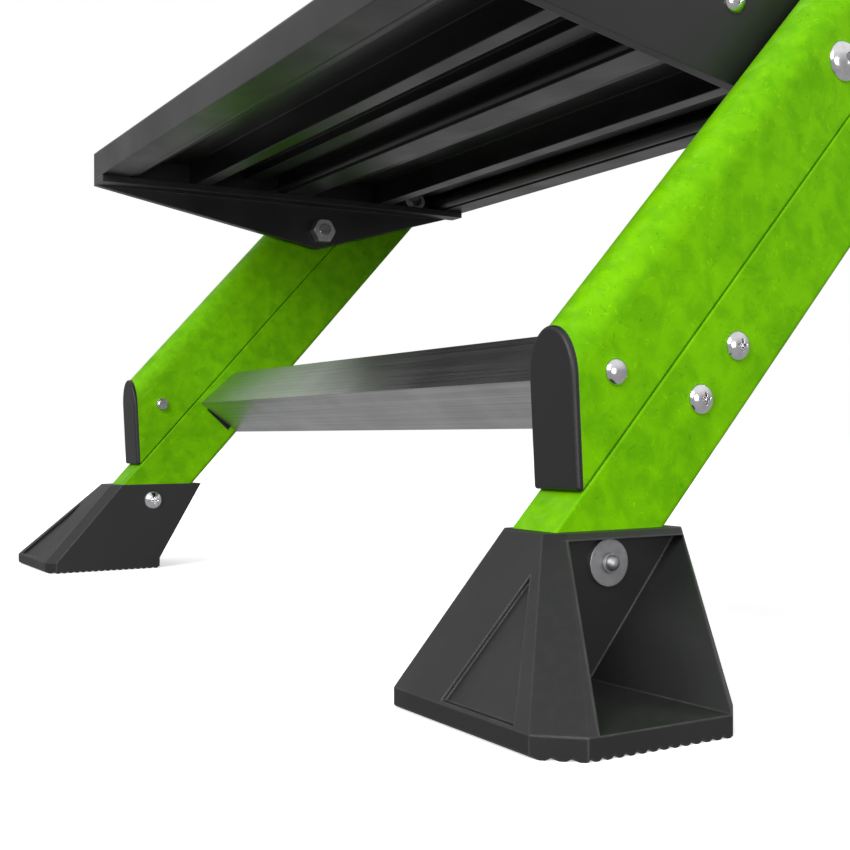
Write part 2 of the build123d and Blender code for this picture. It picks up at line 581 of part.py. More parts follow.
def tread_plate():
    """Side plate that hangs below the deck to a rounded point at the front pivot, with a shelf under the deck."""
    nose_y = local(FRONT_PIVOT)[0] - 2.2
    rear_y = HALF_TREAD - SHELF_SETBACK
    points = [
        (-HALF_TREAD, -PLATE_TOP_STEP), (-HALF_TREAD, -PLATE_FRONT_DROP), (nose_y, -PLATE_DROP - 1.5),
        (rear_y, -PLATE_REAR_DROP), (HALF_TREAD, -PLATE_TOP_STEP),
    ]
    plate = prism(points, PLATE_INNER_X, PLATE_OUTER_X)
    along_x = plate.edges().filter_by(Axis.X)
    plate = fillet(along_x.sort_by(Axis.Z)[0], PLATE_NOSE_RADIUS)
    shelf_low = -TREAD_HEIGHT - SHELF_THICKNESS
    section_points = [(-HALF_TREAD, shelf_low), (rear_y, shelf_low), (rear_y, -TREAD_HEIGHT),
                      (-HALF_TREAD, -TREAD_HEIGHT)]
    shelf = prism(section_points, PLATE_INNER_X - SHELF_WIDTH, PLATE_INNER_X)
    plate = plate + shelf - nut_relief()
    for pivot in (REAR_PIVOT, FRONT_PIVOT):
        plate -= rod(local(pivot), PIVOT_BOLT_R + PIVOT_CLEARANCE, PLATE_INNER_X - 1, PLATE_OUTER_X + 1)
    for y in DECK_SCREW_OFFSETS:
        plate -= rod((y, -DECK_SCREW_DROP), DECK_SCREW_R + HOLE, PLATE_INNER_X - 1, PLATE_OUTER_X + 1)
    return plate


def tread_screws():
    screw = cross_screw(DECK_SCREW_HEAD_R, PLATE_GAP - 0.5, DECK_SCREW_R, DECK_SCREW_LENGTH)
    return [facing(PLATE_OUTER_X, (y, -DECK_SCREW_DROP), 1) * screw for y in DECK_SCREW_OFFSETS]


# Fold pivots
def pivot_set(pivot, bolts, nuts, spacers):
    """Adds one pivot's bolt, nut and nylon spacer, for the right-hand side."""
    nut_x = PLATE_INNER_X - SLIP_GAP
    length = RAIL_OUTER_X - nut_x + PIVOT_NUT_H + 1.5
    bolts.append(facing(RAIL_OUTER_X, pivot, 1) * socket_bolt(PIVOT_HEAD_R, PIVOT_HEAD_H, PIVOT_BOLT_R, length))
    nuts.append(facing(nut_x, pivot, 1) * hex_nut(PIVOT_NUT_AF, PIVOT_NUT_H, PIVOT_BOLT_R))
    thickness = PLATE_GAP - SLIP_GAP
    ring = rod(pivot, SPACER_R, RAIL_INNER_X - thickness, RAIL_INNER_X)
    spacers.append(ring - rod(pivot, PIVOT_BOLT_R, RAIL_INNER_X - thickness, RAIL_INNER_X))


# Rear leg: hinge bar, leg, lock and foot
def hinge_bar_bolt_alongs():
    return HINGE_BAR_ALONG - BAR_BOLT_SPREAD, HINGE_BAR_ALONG + BAR_BOLT_SPREAD


def back_bolt_hole(along, radius):
    """Hole through the rear tube's back wall."""
    y, z = rail_point(along, TUBE_WALL / 2)
    place = Plane(origin=(TUBE_MIDDLE_X, y, z), x_dir=(1, 0, 0), z_dir=RAIL_FORWARD)
    return place * Cylinder(radius, TUBE_WALL + 2)


def bar_box(wall):
    """The hinge bar's outside, or its inside for a wall above 0."""
    low = HINGE_BAR_ALONG - HINGE_BAR_HEIGHT / 2 + wall
    high = HINGE_BAR_ALONG + HINGE_BAR_HEIGHT / 2 - wall
    corners = [(low, -wall), (high, -wall), (high, wall - HINGE_BAR_DEPTH), (low, wall - HINGE_BAR_DEPTH)]
    return prism([rail_point(*corner) for corner in corners], -RAIL_OUTER_X, RAIL_OUTER_X)


def hinge_bar():
    """Square tube across the backs of the rails, with two ears at the middle for the leg's pin."""
    bar = bar_box(0) - bar_box(HINGE_BAR_WALL)
    for along in hinge_bar_bolt_alongs():
        y, z = rail_point(along, -HINGE_BAR_DEPTH / 2)
        hole = Plane(origin=(TUBE_MIDDLE_X, y, z), x_dir=(1, 0, 0), z_dir=RAIL_FORWARD) * Cylinder(
            BAR_BOLT_R + HOLE, HINGE_BAR_DEPTH + 2)
        bar -= hole
        bar -= left_of(hole)
    return bar


def hinge_ear():
    start = POLE_WIDTH / 2 + SLIP_GAP * 3
    half = HINGE_BAR_HEIGHT / 2
    root = [(HINGE_BAR_ALONG - half, -HINGE_BAR_DEPTH), (HINGE_BAR_ALONG + half, -HINGE_BAR_DEPTH),
            (HINGE_BAR_ALONG + EAR_TIP_R, POLE_PIN_PERP), (HINGE_BAR_ALONG - EAR_TIP_R, POLE_PIN_PERP)]
    ear = prism([rail_point(*corner) for corner in root], start, start + EAR_THICKNESS)
    ear += rod(POLE_PIN, EAR_TIP_R, start, start + EAR_THICKNESS)
    return ear - rod(POLE_PIN, POLE_PIN_R, start, start + EAR_THICKNESS)


def bar_bolts():
    """Four bolts that hold the hinge bar to the rear tubes, with their heads at the back."""
    bolts = []
    for along in hinge_bar_bolt_alongs():
        y, z = rail_point(along, -HINGE_BAR_DEPTH)
        place = Plane(origin=(TUBE_MIDDLE_X, y, z), x_dir=(1, 0, 0), z_dir=RAIL_FORWARD * -1)
        bolts.append(place * socket_bolt(7.5, 4, BAR_BOLT_R, HINGE_BAR_DEPTH + TUBE_WALL + 8))
    return bolts


def pole_plane(distance):
    """A section plane of the rear leg, this far below its pin; its y points backwards and up."""
    origin = Vector(0, *POLE_PIN) + POLE_DOWN * distance
    return Plane(origin=origin, x_dir=(-1, 0, 0), z_dir=POLE_DOWN)


def pole_point(distance, back):
    point = Vector(0, *POLE_PIN) + POLE_DOWN * distance + POLE_BACK * back
    return point.Y, point.Z


def rounded_bar(width, depth, corner, start, end):
    return extrude(pole_plane(start) * RectangleRounded(width, depth, corner), amount=end - start)


def pole_tube():
    outer = rounded_bar(POLE_WIDTH, POLE_DEPTH, 6, POLE_TUBE_START, POLE_TUBE_END)
    inner = rounded_bar(POLE_WIDTH - 2 * POLE_WALL, POLE_DEPTH - 2 * POLE_WALL, 3, POLE_TUBE_START, POLE_TUBE_END)
    return outer - inner - rod(head_rivet_point(), CAP_RIVET_R + PIVOT_CLEARANCE, -POLE_WIDTH, POLE_WIDTH)


def head_rivet_point():
    return pole_point(POLE_TUBE_START + POLE_RIVET_DISTANCE, 0)


def pole_head():
    """Moulded eye at the leg's top, with a spigot inside the tube."""
    width = POLE_WIDTH - 1
    eye = rod(POLE_PIN, POLE_EYE_R, -width / 2, width / 2)
    neck = rounded_bar(width, 2 * POLE_EYE_R, 4, 0, POLE_TUBE_START)
    inside = (POLE_WIDTH - 2 * POLE_WALL - 2 * SOCKET_CLEARANCE, POLE_DEPTH - 2 * POLE_WALL - 2 * SOCKET_CLEARANCE)
    spigot = rounded_bar(*inside, 2.8, POLE_TUBE_START, POLE_TUBE_START + 45)
    head = eye + neck + spigot
    head -= rod(POLE_PIN, POLE_PIN_R + PIVOT_CLEARANCE, -width, width)
    return head - rod(head_rivet_point(), CAP_RIVET_R + PIVOT_CLEARANCE, -width, width)


def pole_pin():
    reach = POLE_WIDTH / 2 + SLIP_GAP * 3 + EAR_THICKNESS
    pin = rod(POLE_PIN, POLE_PIN_R, -reach - 3, reach)
    head = facing(reach, POLE_PIN, 1) * dome(10, 4.5)
    clip = rod(POLE_PIN, 10, -reach - 3, -reach)
    return pin + head + clip


def inner_size():
    play = 2 * (POLE_WALL + INNER_CLEARANCE)
    return POLE_WIDTH - play, POLE_DEPTH - play


def pole_inner():
    width, depth = inner_size()
    outer = rounded_bar(width, depth, 2.7, INNER_START, INNER_END)
    inner = rounded_bar(width - 2 * INNER_WALL, depth - 2 * INNER_WALL, 1, INNER_START, INNER_END)
    return outer - inner


def ankle():
    """Fitting pressed into the inner tube's lower end, with the eye for the foot's pin."""
    width, depth = inner_size()
    plug = rounded_bar(width - 2 * INNER_WALL, depth - 2 * INNER_WALL, 1, INNER_END - 40, INNER_END)
    lid = rounded_bar(width, depth, 2.7, INNER_END, INNER_END + 4)
    tongue = rounded_bar(ANKLE_WIDTH, 26, 2, INNER_END + 4, POLE_LENGTH)
    tongue += rod(POLE_FOOT_PIN, 13, -ANKLE_WIDTH / 2, ANKLE_WIDTH / 2)
    hole = rod(POLE_FOOT_PIN, POLE_FOOT_PIN_R + PIVOT_CLEARANCE, -ANKLE_WIDTH, ANKLE_WIDTH)
    return plug + lid + tongue - hole


def lock_collar():
    """Collar on the outer tube's lower end that the lever squeezes."""
    start, end = POLE_TUBE_END - LOCK_HEIGHT + LOCK_LIP, POLE_TUBE_END + LOCK_LIP
    body = rounded_bar(POLE_WIDTH + 2 * LOCK_WALL, POLE_DEPTH + 2 * LOCK_WALL, 9, start, end)
    body = fillet(body.faces().sort_by(Axis((0, *POLE_PIN), POLE_DOWN))[-1].edges(), 2)
    lug_back = POLE_DEPTH / 2 + LOCK_WALL + LEVER_PIN_BACK + 5
    middle = POLE_TUBE_END - LOCK_HEIGHT + LEVER_PIN_DISTANCE
    corners = [(middle - 9, POLE_DEPTH / 2 - 2), (middle + 9, POLE_DEPTH / 2 - 2),
               (middle + 6, lug_back), (middle - 6, lug_back)]
    lug_start = LEVER_WIDTH / 2 + 2 * SLIP_GAP
    lug = prism([pole_point(*corner) for corner in corners], lug_start, lug_start + LUG_THICKNESS)
    body = body + lug + left_of(lug) - rounded_bar(POLE_WIDTH, POLE_DEPTH, 6, start, POLE_TUBE_END)
    width, depth = inner_size()
    play = 2 * INNER_CLEARANCE
    body -= rounded_bar(width + play, depth + play, 3, POLE_TUBE_END, end)
    return body - rod(lever_pin_point(), LEVER_PIN_R + PIVOT_CLEARANCE, -POLE_WIDTH, POLE_WIDTH)


def lever_pin_point():
    distance = POLE_TUBE_END - LOCK_HEIGHT + LEVER_PIN_DISTANCE
    return pole_point(distance, POLE_DEPTH / 2 + LOCK_WALL + LEVER_PIN_BACK)


def lock_lever():
    """Cam lever, lying down the back of the leg when it is shut."""
    top = POLE_TUBE_END - LOCK_HEIGHT + LEVER_PIN_DISTANCE
    back = POLE_DEPTH / 2 + LOCK_WALL + LEVER_PIN_BACK
    half = LEVER_THICKNESS / 2
    bend = top + LEVER_LENGTH * 0.6
    tip = top + LEVER_LENGTH
    corners = [(top, -half), (top, half), (bend, half - 1), (tip, half + 5), (tip, half + 1), (bend, -half - 1)]
    lever = prism([pole_point(distance, back + rise) for distance, rise in corners], -LEVER_WIDTH / 2, LEVER_WIDTH / 2)
    lever += rod(lever_pin_point(), 7, -LEVER_WIDTH / 2, LEVER_WIDTH / 2)
    return lever - rod(lever_pin_point(), LEVER_PIN_R + PIVOT_CLEARANCE, -LEVER_WIDTH, LEVER_WIDTH)


def lever_pin():
    reach = LEVER_WIDTH / 2 + 2 * SLIP_GAP + LUG_THICKNESS
    return rod(lever_pin_point(), LEVER_PIN_R, -reach, reach)


def pole_foot():
    """Shoe under the leg: a flared base with clipped corners, and two cheeks that hold the pin."""
    y, height = POLE_FOOT_PIN
    half = POLE_FOOT_LENGTH / 2
    shoulder = height - SHOE_PIN_HEAD_R
    side = [(y - half + 8, SOLE_HEIGHT), (y + half - 8, SOLE_HEIGHT), (y + half - 14, SOLE_HEIGHT + 6),
            (y + 15, height + 4), (y + 8, height + 12), (y - 8, height + 12), (y - 15, height + 4),
            (y - half + 14, SOLE_HEIGHT + 6)]
    base = prism(side, 4 - POLE_FOOT_WIDTH / 2, POLE_FOOT_WIDTH / 2 - 4)
    flare_x = POLE_FOOT_WIDTH / 2 - 8
    for sign in (-1, 1):
        base = trim(base, (sign * flare_x, y, SOLE_HEIGHT + 5), (sign * flare_x, y + 1, SOLE_HEIGHT + 5),
                    (sign * SHOE_CHEEK_X, y, shoulder), (0, y, SOLE_HEIGHT))
    base = trim(base, (0, y, shoulder), (1, y, shoulder), (0, y + 1, shoulder), (0, y, SOLE_HEIGHT))
    shoe = base + prism(side, -SHOE_CHEEK_X, SHOE_CHEEK_X)
    slot = ANKLE_WIDTH / 2 + SLIP_GAP * 2
    floor, top = SOLE_HEIGHT + 5, height + 20
    shoe -= prism([(y - 30, floor), (y + 30, floor), (y + 30, top), (y - 30, top)], -slot, slot)
    return shoe - rod(POLE_FOOT_PIN, POLE_FOOT_PIN_R, -POLE_FOOT_WIDTH, POLE_FOOT_WIDTH)


def pole_sole():
    y = POLE_FOOT_PIN[0]
    half = POLE_FOOT_LENGTH / 2
    pad = Pos(0, y, SOLE_HEIGHT / 2) * Box(POLE_FOOT_WIDTH, POLE_FOOT_LENGTH, SOLE_HEIGHT)
    pad = chamfer(pad.edges().filter_by(Axis.Z), 10)
    return ridged(pad, y - half, y + half, -POLE_FOOT_WIDTH / 2, POLE_FOOT_WIDTH / 2)


def pole_foot_pin():
    pin = rod(POLE_FOOT_PIN, POLE_FOOT_PIN_R, -SHOE_CHEEK_X, SHOE_CHEEK_X)
    head = facing(SHOE_CHEEK_X, POLE_FOOT_PIN, 1) * dome(SHOE_PIN_HEAD_R, 3)
    return pin + head + rod(POLE_FOOT_PIN, SHOE_PIN_HEAD_R, -SHOE_CHEEK_X - 3, -SHOE_CHEEK_X)


def build_nodes():
    nodes = {}

    right = {
        "rear_tube": rear_tube(), "front_tube": front_tube(), "foot": foot(),
        "front_tube_end_cap": front_tube_cap(),
    }
    for name, shape in right.items():
        nodes[name + "_right"] = shape
        nodes[name + "_left"] = left_of(shape)

    rear_cap = top_cap(rear_tube_outline(0, TUBE_CORNER, SEAM_CORNER),
                       rear_tube_outline(TUBE_WALL + SOCKET_CLEARANCE, 1, 1), REAR_TUBE_LENGTH)
    front_cap = top_cap(front_tube_outline(0), front_tube_outline(TUBE_WALL + SOCKET_CLEARANCE), FRONT_TUBE_LENGTH)
    nodes["rear_tube_top_caps"] = pair_of(rear_cap)
    nodes["front_tube_top_caps"] = pair_of(front_cap)

    nut_x = POCKET_INNER_X + WASHER_THICKNESS
    grip = nut_x - FOOT_INNER_X + FOOT_NUT_H / 2
    foot_bolt = cross_screw(FOOT_BOLT_HEAD_R, FOOT_BOLT_HEAD_H, FOOT_BOLT_R, grip)
    nodes["foot_bolts"] = pair_of(facing(FOOT_INNER_X, BOLT_POINT, -1) * foot_bolt)
    washer = rod(BOLT_POINT, WASHER_R, POCKET_INNER_X, nut_x)
    nodes["foot_washers"] = pair_of(washer - rod(BOLT_POINT, FOOT_BOLT_R, POCKET_INNER_X, nut_x))
    nodes["foot_nuts"] = pair_of(facing(nut_x, BOLT_POINT, 1) * cap_nut())

    nodes["ground_rung"] = rung()
    nodes["rung_inserts"] = pair_of(rung_insert())
    nodes["rung_screws"] = Compound(children=rung_screws() + [left_of(screw) for screw in rung_screws()])

    rivet_length = TUBE_WIDTH + 4
    rivet = facing(RAIL_OUTER_X, RIVET_POINT, 1) * (dome(CAP_RIVET_HEAD_R, 3.2) + shank(CAP_RIVET_R, rivet_length))
    nodes["cap_rivets"] = pair_of(rivet)
    collar = facing(RAIL_INNER_X, RIVET_POINT, -1) * (Pos(0, 0, 1.4) * Cylinder(4.2, 2.8) - Cylinder(CAP_RIVET_R, 9))
    nodes["cap_rivet_collars"] = pair_of(collar)

    for name, pivot in (("rear", REAR_PIVOT), ("front", FRONT_PIVOT)):
        bolts, nuts, spacers = [], [], []
        for step in range(TREAD_COUNT):
            pivot_set(pivot_at(pivot, step), bolts, nuts, spacers)
        for kind, group in (("bolts", bolts), ("nuts", nuts), ("spacers", spacers)):
            nodes[f"{name}_pivot_{kind}"] = Compound(children=group + [left_of(item) for item in group])

    deck, plate, screws = tread_deck(), tread_plate(), tread_screws()
    for step in range(TREAD_COUNT):
        place = Pos(0, TREAD_CENTRE_Y + TREAD_RUN * step, FIRST_TREAD_TOP + TREAD_RISE * step)
        name = f"tread_{step + 1}"
        nodes[name + "_deck"] = place * deck
        nodes[name + "_plate_right"] = place * plate
        nodes[name + "_plate_left"] = place * left_of(plate)
        nodes[name + "_screws"] = Compound(children=[place * item for item in screws]
                                           + [place * left_of(item) for item in screws])

    nodes["hinge_bar"] = hinge_bar()
    nodes["hinge_ears"] = pair_of(hinge_ear())
    nodes["hinge_bar_bolts"] = Compound(children=bar_bolts() + [left_of(bolt) for bolt in bar_bolts()])
    nodes["pole_pin"] = pole_pin()
    nodes["pole_tube"] = pole_tube()
    nodes["pole_head"] = pole_head()
    head_rivet = facing(POLE_WIDTH / 2, head_rivet_point(), 1) * (dome(6, 3) + shank(CAP_RIVET_R, POLE_WIDTH + 0.5))
    nodes["pole_head_rivet"] = head_rivet + rod(head_rivet_point(), 5, -POLE_WIDTH / 2 - 2, -POLE_WIDTH / 2)
    nodes["lock_collar"] = lock_collar()
    nodes["lock_lever"] = lock_lever()
    nodes["lock_lever_pin"] = lever_pin()
    nodes["pole_inner_tube"] = pole_inner()
    nodes["pole_ankle"] = ankle()
    nodes["pole_foot_shoe"] = pole_foot()
    nodes["pole_foot_sole"] = pole_sole()
    nodes["pole_foot_pin"] = pole_foot_pin()
    return nodes


NODES = build_nodes()
FRONT_END = SLAB_FRONT_Y
REAR_END = POLE_FOOT_PIN[0] + POLE_FOOT_LENGTH / 2
SHIFT = -(FRONT_END + REAR_END) / 2
os.makedirs("parts", exist_ok=True)
for node_name, node in NODES.items():
    export_step(Pos(0, SHIFT, 0) * node, f"parts/{node_name}.step")
print("nodes", len(NODES), "shift", round(SHIFT, 3), "depth", round(REAR_END - FRONT_END, 1))
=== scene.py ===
# %% [markdown]
# # A folding tripod ladder for the orchard
#
# The real ladder has two pairs of green fibreglass tubes, four deep black treads, moulded plastic feet and a single
# telescoping leg at the back. The engineering model already holds every tube, tread, bolt and joint at full size.
# In Blender we keep those parts where they are and give each one its finish. Geometry Nodes remake the round-headed
# fasteners with finer heads and add the grip on the treads, because there the detail is finer than the parts need.

# %% Load the ladder
from math import cos, radians, sin

import bmesh
import bpy
from mathutils import Matrix, Vector


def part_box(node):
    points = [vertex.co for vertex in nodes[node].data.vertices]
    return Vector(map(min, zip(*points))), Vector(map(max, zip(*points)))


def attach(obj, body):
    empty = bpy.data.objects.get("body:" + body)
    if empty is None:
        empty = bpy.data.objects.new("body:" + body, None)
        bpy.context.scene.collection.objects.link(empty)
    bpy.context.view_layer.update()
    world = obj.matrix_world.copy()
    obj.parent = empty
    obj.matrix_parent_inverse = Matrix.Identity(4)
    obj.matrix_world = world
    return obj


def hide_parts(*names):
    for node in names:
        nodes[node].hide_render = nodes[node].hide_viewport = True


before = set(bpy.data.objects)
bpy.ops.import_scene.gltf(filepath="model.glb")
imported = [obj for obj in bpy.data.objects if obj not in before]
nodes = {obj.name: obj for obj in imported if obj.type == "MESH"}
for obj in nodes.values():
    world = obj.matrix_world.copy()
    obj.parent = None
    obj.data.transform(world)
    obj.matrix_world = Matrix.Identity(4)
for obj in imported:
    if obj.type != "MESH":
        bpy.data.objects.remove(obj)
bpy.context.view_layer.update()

# %% [markdown]
# ## The camera
#
# The view is a close one, from the climber's right, with the lens only a hand's width above the ground. It shows the
# two feet, the lower rung and the underside of the first tread. A camera can be aimed with a Track To constraint, but
# here its place and its three turns are known, so its matrix is built from them: heading, pitch, then a slight roll.

# %% Camera
CAMERA_PLACE = Vector((0.6442, -1.03779, 0.0991))
CAMERA_HEADING = radians(59.193)     # turned left from looking along +Y
CAMERA_PITCH = radians(0.4105)
CAMERA_ROLL = radians(-0.2387)
CAMERA_LENS = 52.14                  # millimetres, on a 36 mm sensor


def camera_matrix():
    ahead = Vector((-sin(CAMERA_HEADING) * cos(CAMERA_PITCH), cos(CAMERA_HEADING) * cos(CAMERA_PITCH),
                    sin(CAMERA_PITCH)))
    level = Vector((cos(CAMERA_HEADING), sin(CAMERA_HEADING), 0))
    above = level.cross(ahead)
    right = level * cos(CAMERA_ROLL) + above * sin(CAMERA_ROLL)
    up = above * cos(CAMERA_ROLL) - level * sin(CAMERA_ROLL)
    turn = Matrix((right, up, -ahead)).transposed()
    return Matrix.Translation(CAMERA_PLACE) @ turn.to_4x4()


camera_data = bpy.data.cameras.new("camera")
camera_data.lens = CAMERA_LENS
camera_data.sensor_width = 36.0
camera_data.clip_start = 0.01
camera_data.clip_end = 60.0
camera = bpy.data.objects.new("camera", camera_data)
camera.matrix_world = camera_matrix()
bpy.context.scene.collection.objects.link(camera)
bpy.context.scene.camera = camera
print("camera at", [round(v, 3) for v in camera.location])

# %% [markdown]
# ## Small helpers for node trees
#
# Every material and every Geometry Nodes tree below is made in code. Two short helpers keep that readable: one adds a
# node and fills its sockets, where a socket value may be a number or another node's output, and one makes a math node.

# %% Node helpers


def add_node(tree, kind, inputs=None, **settings):
    """Adds a node; inputs maps a socket's name or number to a value or to an output socket."""
    node = tree.nodes.new(kind)
    for name, value in settings.items():
        setattr(node, name, value)
    for key, value in (inputs or {}).items():
        socket = node.inputs[key]
        if isinstance(value, bpy.types.NodeSocket):
            tree.links.new(value, socket)
        else:
            socket.default_value = value
    return node


def math(tree, operation, *values):
    node = add_node(tree, "ShaderNodeMath", operation=operation)
    for number, value in enumerate(values):
        if isinstance(value, bpy.types.NodeSocket):
            tree.links.new(value, node.inputs[number])
        else:
            node.inputs[number].default_value = value
    return node.outputs[0]


def smooth_range(tree, value, low, high, to_low=0.0, to_high=1.0):
    node = add_node(tree, "ShaderNodeMapRange", {"Value": value, "From Min": low, "From Max": high,
                                                 "To Min": to_low, "To Max": to_high},
                    interpolation_type="SMOOTHSTEP")
    return node.outputs[0]


def mix_colour(tree, share, first, second):
    node = add_node(tree, "ShaderNodeMix", data_type="RGBA")
    for socket, value in ((node.inputs["Factor"], share), (node.inputs[6], first), (node.inputs[7], second)):
        if isinstance(value, bpy.types.NodeSocket):
            tree.links.new(value, socket)
        else:
            socket.default_value = value
    return node.outputs[2]


def group_tree(name, inputs, outputs):
    """A shader node group with named sockets; returns the tree, its input node and its output node."""
    tree = bpy.data.node_groups.new(name, "ShaderNodeTree")
    for label, kind, value in inputs:
        socket = tree.interface.new_socket(label, in_out="INPUT", socket_type=kind)
        if value is not None:
            socket.default_value = value
    for label, kind in outputs:
        tree.interface.new_socket(label, in_out="OUTPUT", socket_type=kind)
    return tree, tree.nodes.new("NodeGroupInput"), tree.nodes.new("NodeGroupOutput")


def use_group(tree, group, inputs):
    node = tree.nodes.new("ShaderNodeGroup")
    node.node_tree = group
    for key, value in inputs.items():
        if isinstance(value, bpy.types.NodeSocket):
            tree.links.new(value, node.inputs[key])
        else:
            node.inputs[key].default_value = value
    return node


# %% [markdown]
# ## Worn edges and painted edge highlights
#
# Moulded plastic and powder coat look lighter along their corners: the corner is a little round, it catches the light,
# and hands and boots rub it. The Bevel node gives the normal that a rounded corner would have. Where that normal
# differs from the face's own, we are on an edge, so one group gives both the softened normal and an edge mask.
# The materials paint the masked corners a lighter colour, which stands both for wear and for a painted highlight.

# %% Edge wear and painted highlight group
edge_wear_and_highlight, group_in, group_out = group_tree(
    "edge_wear_and_highlight",
    [("Width", "NodeSocketFloat", 0.001), ("Breakup", "NodeSocketFloat", 0.5)],
    [("Mask", "NodeSocketFloat"), ("Normal", "NodeSocketVector")])
bevel = add_node(edge_wear_and_highlight, "ShaderNodeBevel", {"Radius": group_in.outputs["Width"]}, samples=4)
face = add_node(edge_wear_and_highlight, "ShaderNodeNewGeometry")
likeness = add_node(edge_wear_and_highlight, "ShaderNodeVectorMath", {0: bevel.outputs[0], 1: face.outputs["Normal"]},
                    operation="DOT_PRODUCT")
edge = smooth_range(edge_wear_and_highlight, likeness.outputs["Value"], 0.995, 0.86)
place = add_node(edge_wear_and_highlight, "ShaderNodeTexCoord").outputs["Object"]
patches = add_node(edge_wear_and_highlight, "ShaderNodeTexNoise", {"Vector": place, "Scale": 90.0, "Detail": 4.0}).outputs[0]
broken = math(edge_wear_and_highlight, "MULTIPLY_ADD", smooth_range(edge_wear_and_highlight, patches, 0.3, 0.7, -1.0, 0.0),
              group_in.outputs["Breakup"], 1.0)
# the mask marks corners for a lighter colour: wear and a painted highlight together
edge_wear_and_highlight.links.new(math(edge_wear_and_highlight, "MULTIPLY", edge, broken), group_out.inputs["Mask"])
edge_wear_and_highlight.links.new(bevel.outputs[0], group_out.inputs["Normal"])
print("group", edge_wear_and_highlight.name, [item.name for item in edge_wear_and_highlight.interface.items_tree])

# %% [markdown]
# ## Fine grain
#
# A mould is spark-eroded and powder coat dries like fine orange peel, so neither surface is mirror-flat. One noise
# does for both: small and shallow on the plastic, a little larger on the coating. The group puts out the height for a
# Bump node, and a slow variation that we use to vary the gloss.

# %% Surface grain group
surface_grain, group_in, group_out = group_tree(
    "surface_grain",
    [("Grain Scale", "NodeSocketFloat", 1500.0), ("Cloud Scale", "NodeSocketFloat", 14.0)],
    [("Height", "NodeSocketFloat"), ("Cloud", "NodeSocketFloat")])
place = add_node(surface_grain, "ShaderNodeTexCoord").outputs["Object"]
fine = add_node(surface_grain, "ShaderNodeTexNoise",
                {"Vector": place, "Scale": group_in.outputs["Grain Scale"], "Detail": 3.0, "Roughness": 0.6})
cloud = add_node(surface_grain, "ShaderNodeTexNoise",
                 {"Vector": place, "Scale": group_in.outputs["Cloud Scale"], "Detail": 5.0, "Roughness": 0.55})
surface_grain.links.new(fine.outputs[0], group_out.inputs["Height"])
surface_grain.links.new(cloud.outputs[0], group_out.inputs["Cloud"])
print("group", surface_grain.name)

# %% [markdown]
# ## Orchard dust
#
# A little dust settles on faces that look up. The mask is the upward part of the normal, broken by noise, and the
# materials that use it mix in a pale brown by that mask.

# %% Dust group
settled_dust, group_in, group_out = group_tree(
    "settled_dust", [("Amount", "NodeSocketFloat", 0.2)], [("Mask", "NodeSocketFloat")])
up = add_node(settled_dust, "ShaderNodeSeparateXYZ",
              {0: add_node(settled_dust, "ShaderNodeNewGeometry").outputs["Normal"]}).outputs["Z"]
place = add_node(settled_dust, "ShaderNodeTexCoord").outputs["Object"]
specks = add_node(settled_dust, "ShaderNodeTexNoise", {"Vector": place, "Scale": 240.0, "Detail": 6.0}).outputs[0]
lying = math(settled_dust, "MULTIPLY", smooth_range(settled_dust, up, 0.35, 1.0),
             smooth_range(settled_dust, specks, 0.42, 0.68))
settled_dust.links.new(math(settled_dust, "MULTIPLY", lying, group_in.outputs["Amount"]), group_out.inputs["Mask"])
print("group", settled_dust.name)

# %% [markdown]
# ## The fibre veil
#
# Pultruded fibreglass has a thin veil of loose fibres under its resin. It shows as soft mottling, short curled lines
# and specks a few millimetres long, a shade lighter or darker than the resin. Curls come from the thin band where a
# noise passes through its middle value, and a second noise keeps only short stretches of them.

# %% Fibre veil group
fibre_veil, group_in, group_out = group_tree(
    "fibre_veil",
    [("Curl Scale", "NodeSocketFloat", 260.0), ("Mottle Scale", "NodeSocketFloat", 60.0)],
    [("Tone", "NodeSocketFloat"), ("Height", "NodeSocketFloat")])
place = add_node(fibre_veil, "ShaderNodeTexCoord").outputs["Object"]


def veil_noise(scale, detail, distortion=0.0, offset=0.0):
    moved = add_node(fibre_veil, "ShaderNodeVectorMath", {0: place, 1: (offset, offset, offset)}, operation="ADD")
    return add_node(fibre_veil, "ShaderNodeTexNoise", {"Vector": moved.outputs[0], "Scale": scale, "Detail": detail,
                                                       "Distortion": distortion}).outputs[0]


def veil_lines(offset, width):
    distance = math(fibre_veil, "ABSOLUTE", math(
        fibre_veil, "SUBTRACT", veil_noise(group_in.outputs["Curl Scale"], 1.0, 1.2, offset), 0.5))
    short = smooth_range(fibre_veil, veil_noise(group_in.outputs["Curl Scale"], 0.0, 0.0, offset + 7.0), 0.5, 0.62)
    return math(fibre_veil, "MULTIPLY", smooth_range(fibre_veil, distance, width, 0.0), short)


light_fibres = veil_lines(1.0, 0.022)
dark_fibres = veil_lines(3.0, 0.02)
mottle = smooth_range(fibre_veil, veil_noise(group_in.outputs["Mottle Scale"], 6.0, 0.4), 0.3, 0.7, -0.5, 0.5)
clouds = smooth_range(fibre_veil, veil_noise(15.0, 2.0, 0.0, 5.0), 0.3, 0.7, -0.5, 0.5)
tone = math(fibre_veil, "MULTIPLY_ADD", mottle, 0.40, 0.5)
tone = math(fibre_veil, "MULTIPLY_ADD", clouds, 0.13, tone)
tone = math(fibre_veil, "MULTIPLY_ADD", light_fibres, 0.42, tone)
tone = math(fibre_veil, "MULTIPLY_ADD", dark_fibres, -0.34, tone)
fibre_veil.links.new(tone, group_out.inputs["Tone"])
fibre_veil.links.new(math(fibre_veil, "ADD", light_fibres, math(fibre_veil, "MULTIPLY", mottle, 0.5)),
                     group_out.inputs["Height"])
print("group", fibre_veil.name)

# %% [markdown]
# ## Drawn lines
#
# The lower rung and the leg's inner tube are extruded aluminium, left as they came from the press: faint lines run
# along the extrusion, crossed by a few scratches. A noise stretched along one axis gives such lines, so
# the group takes the stretch as a vector.

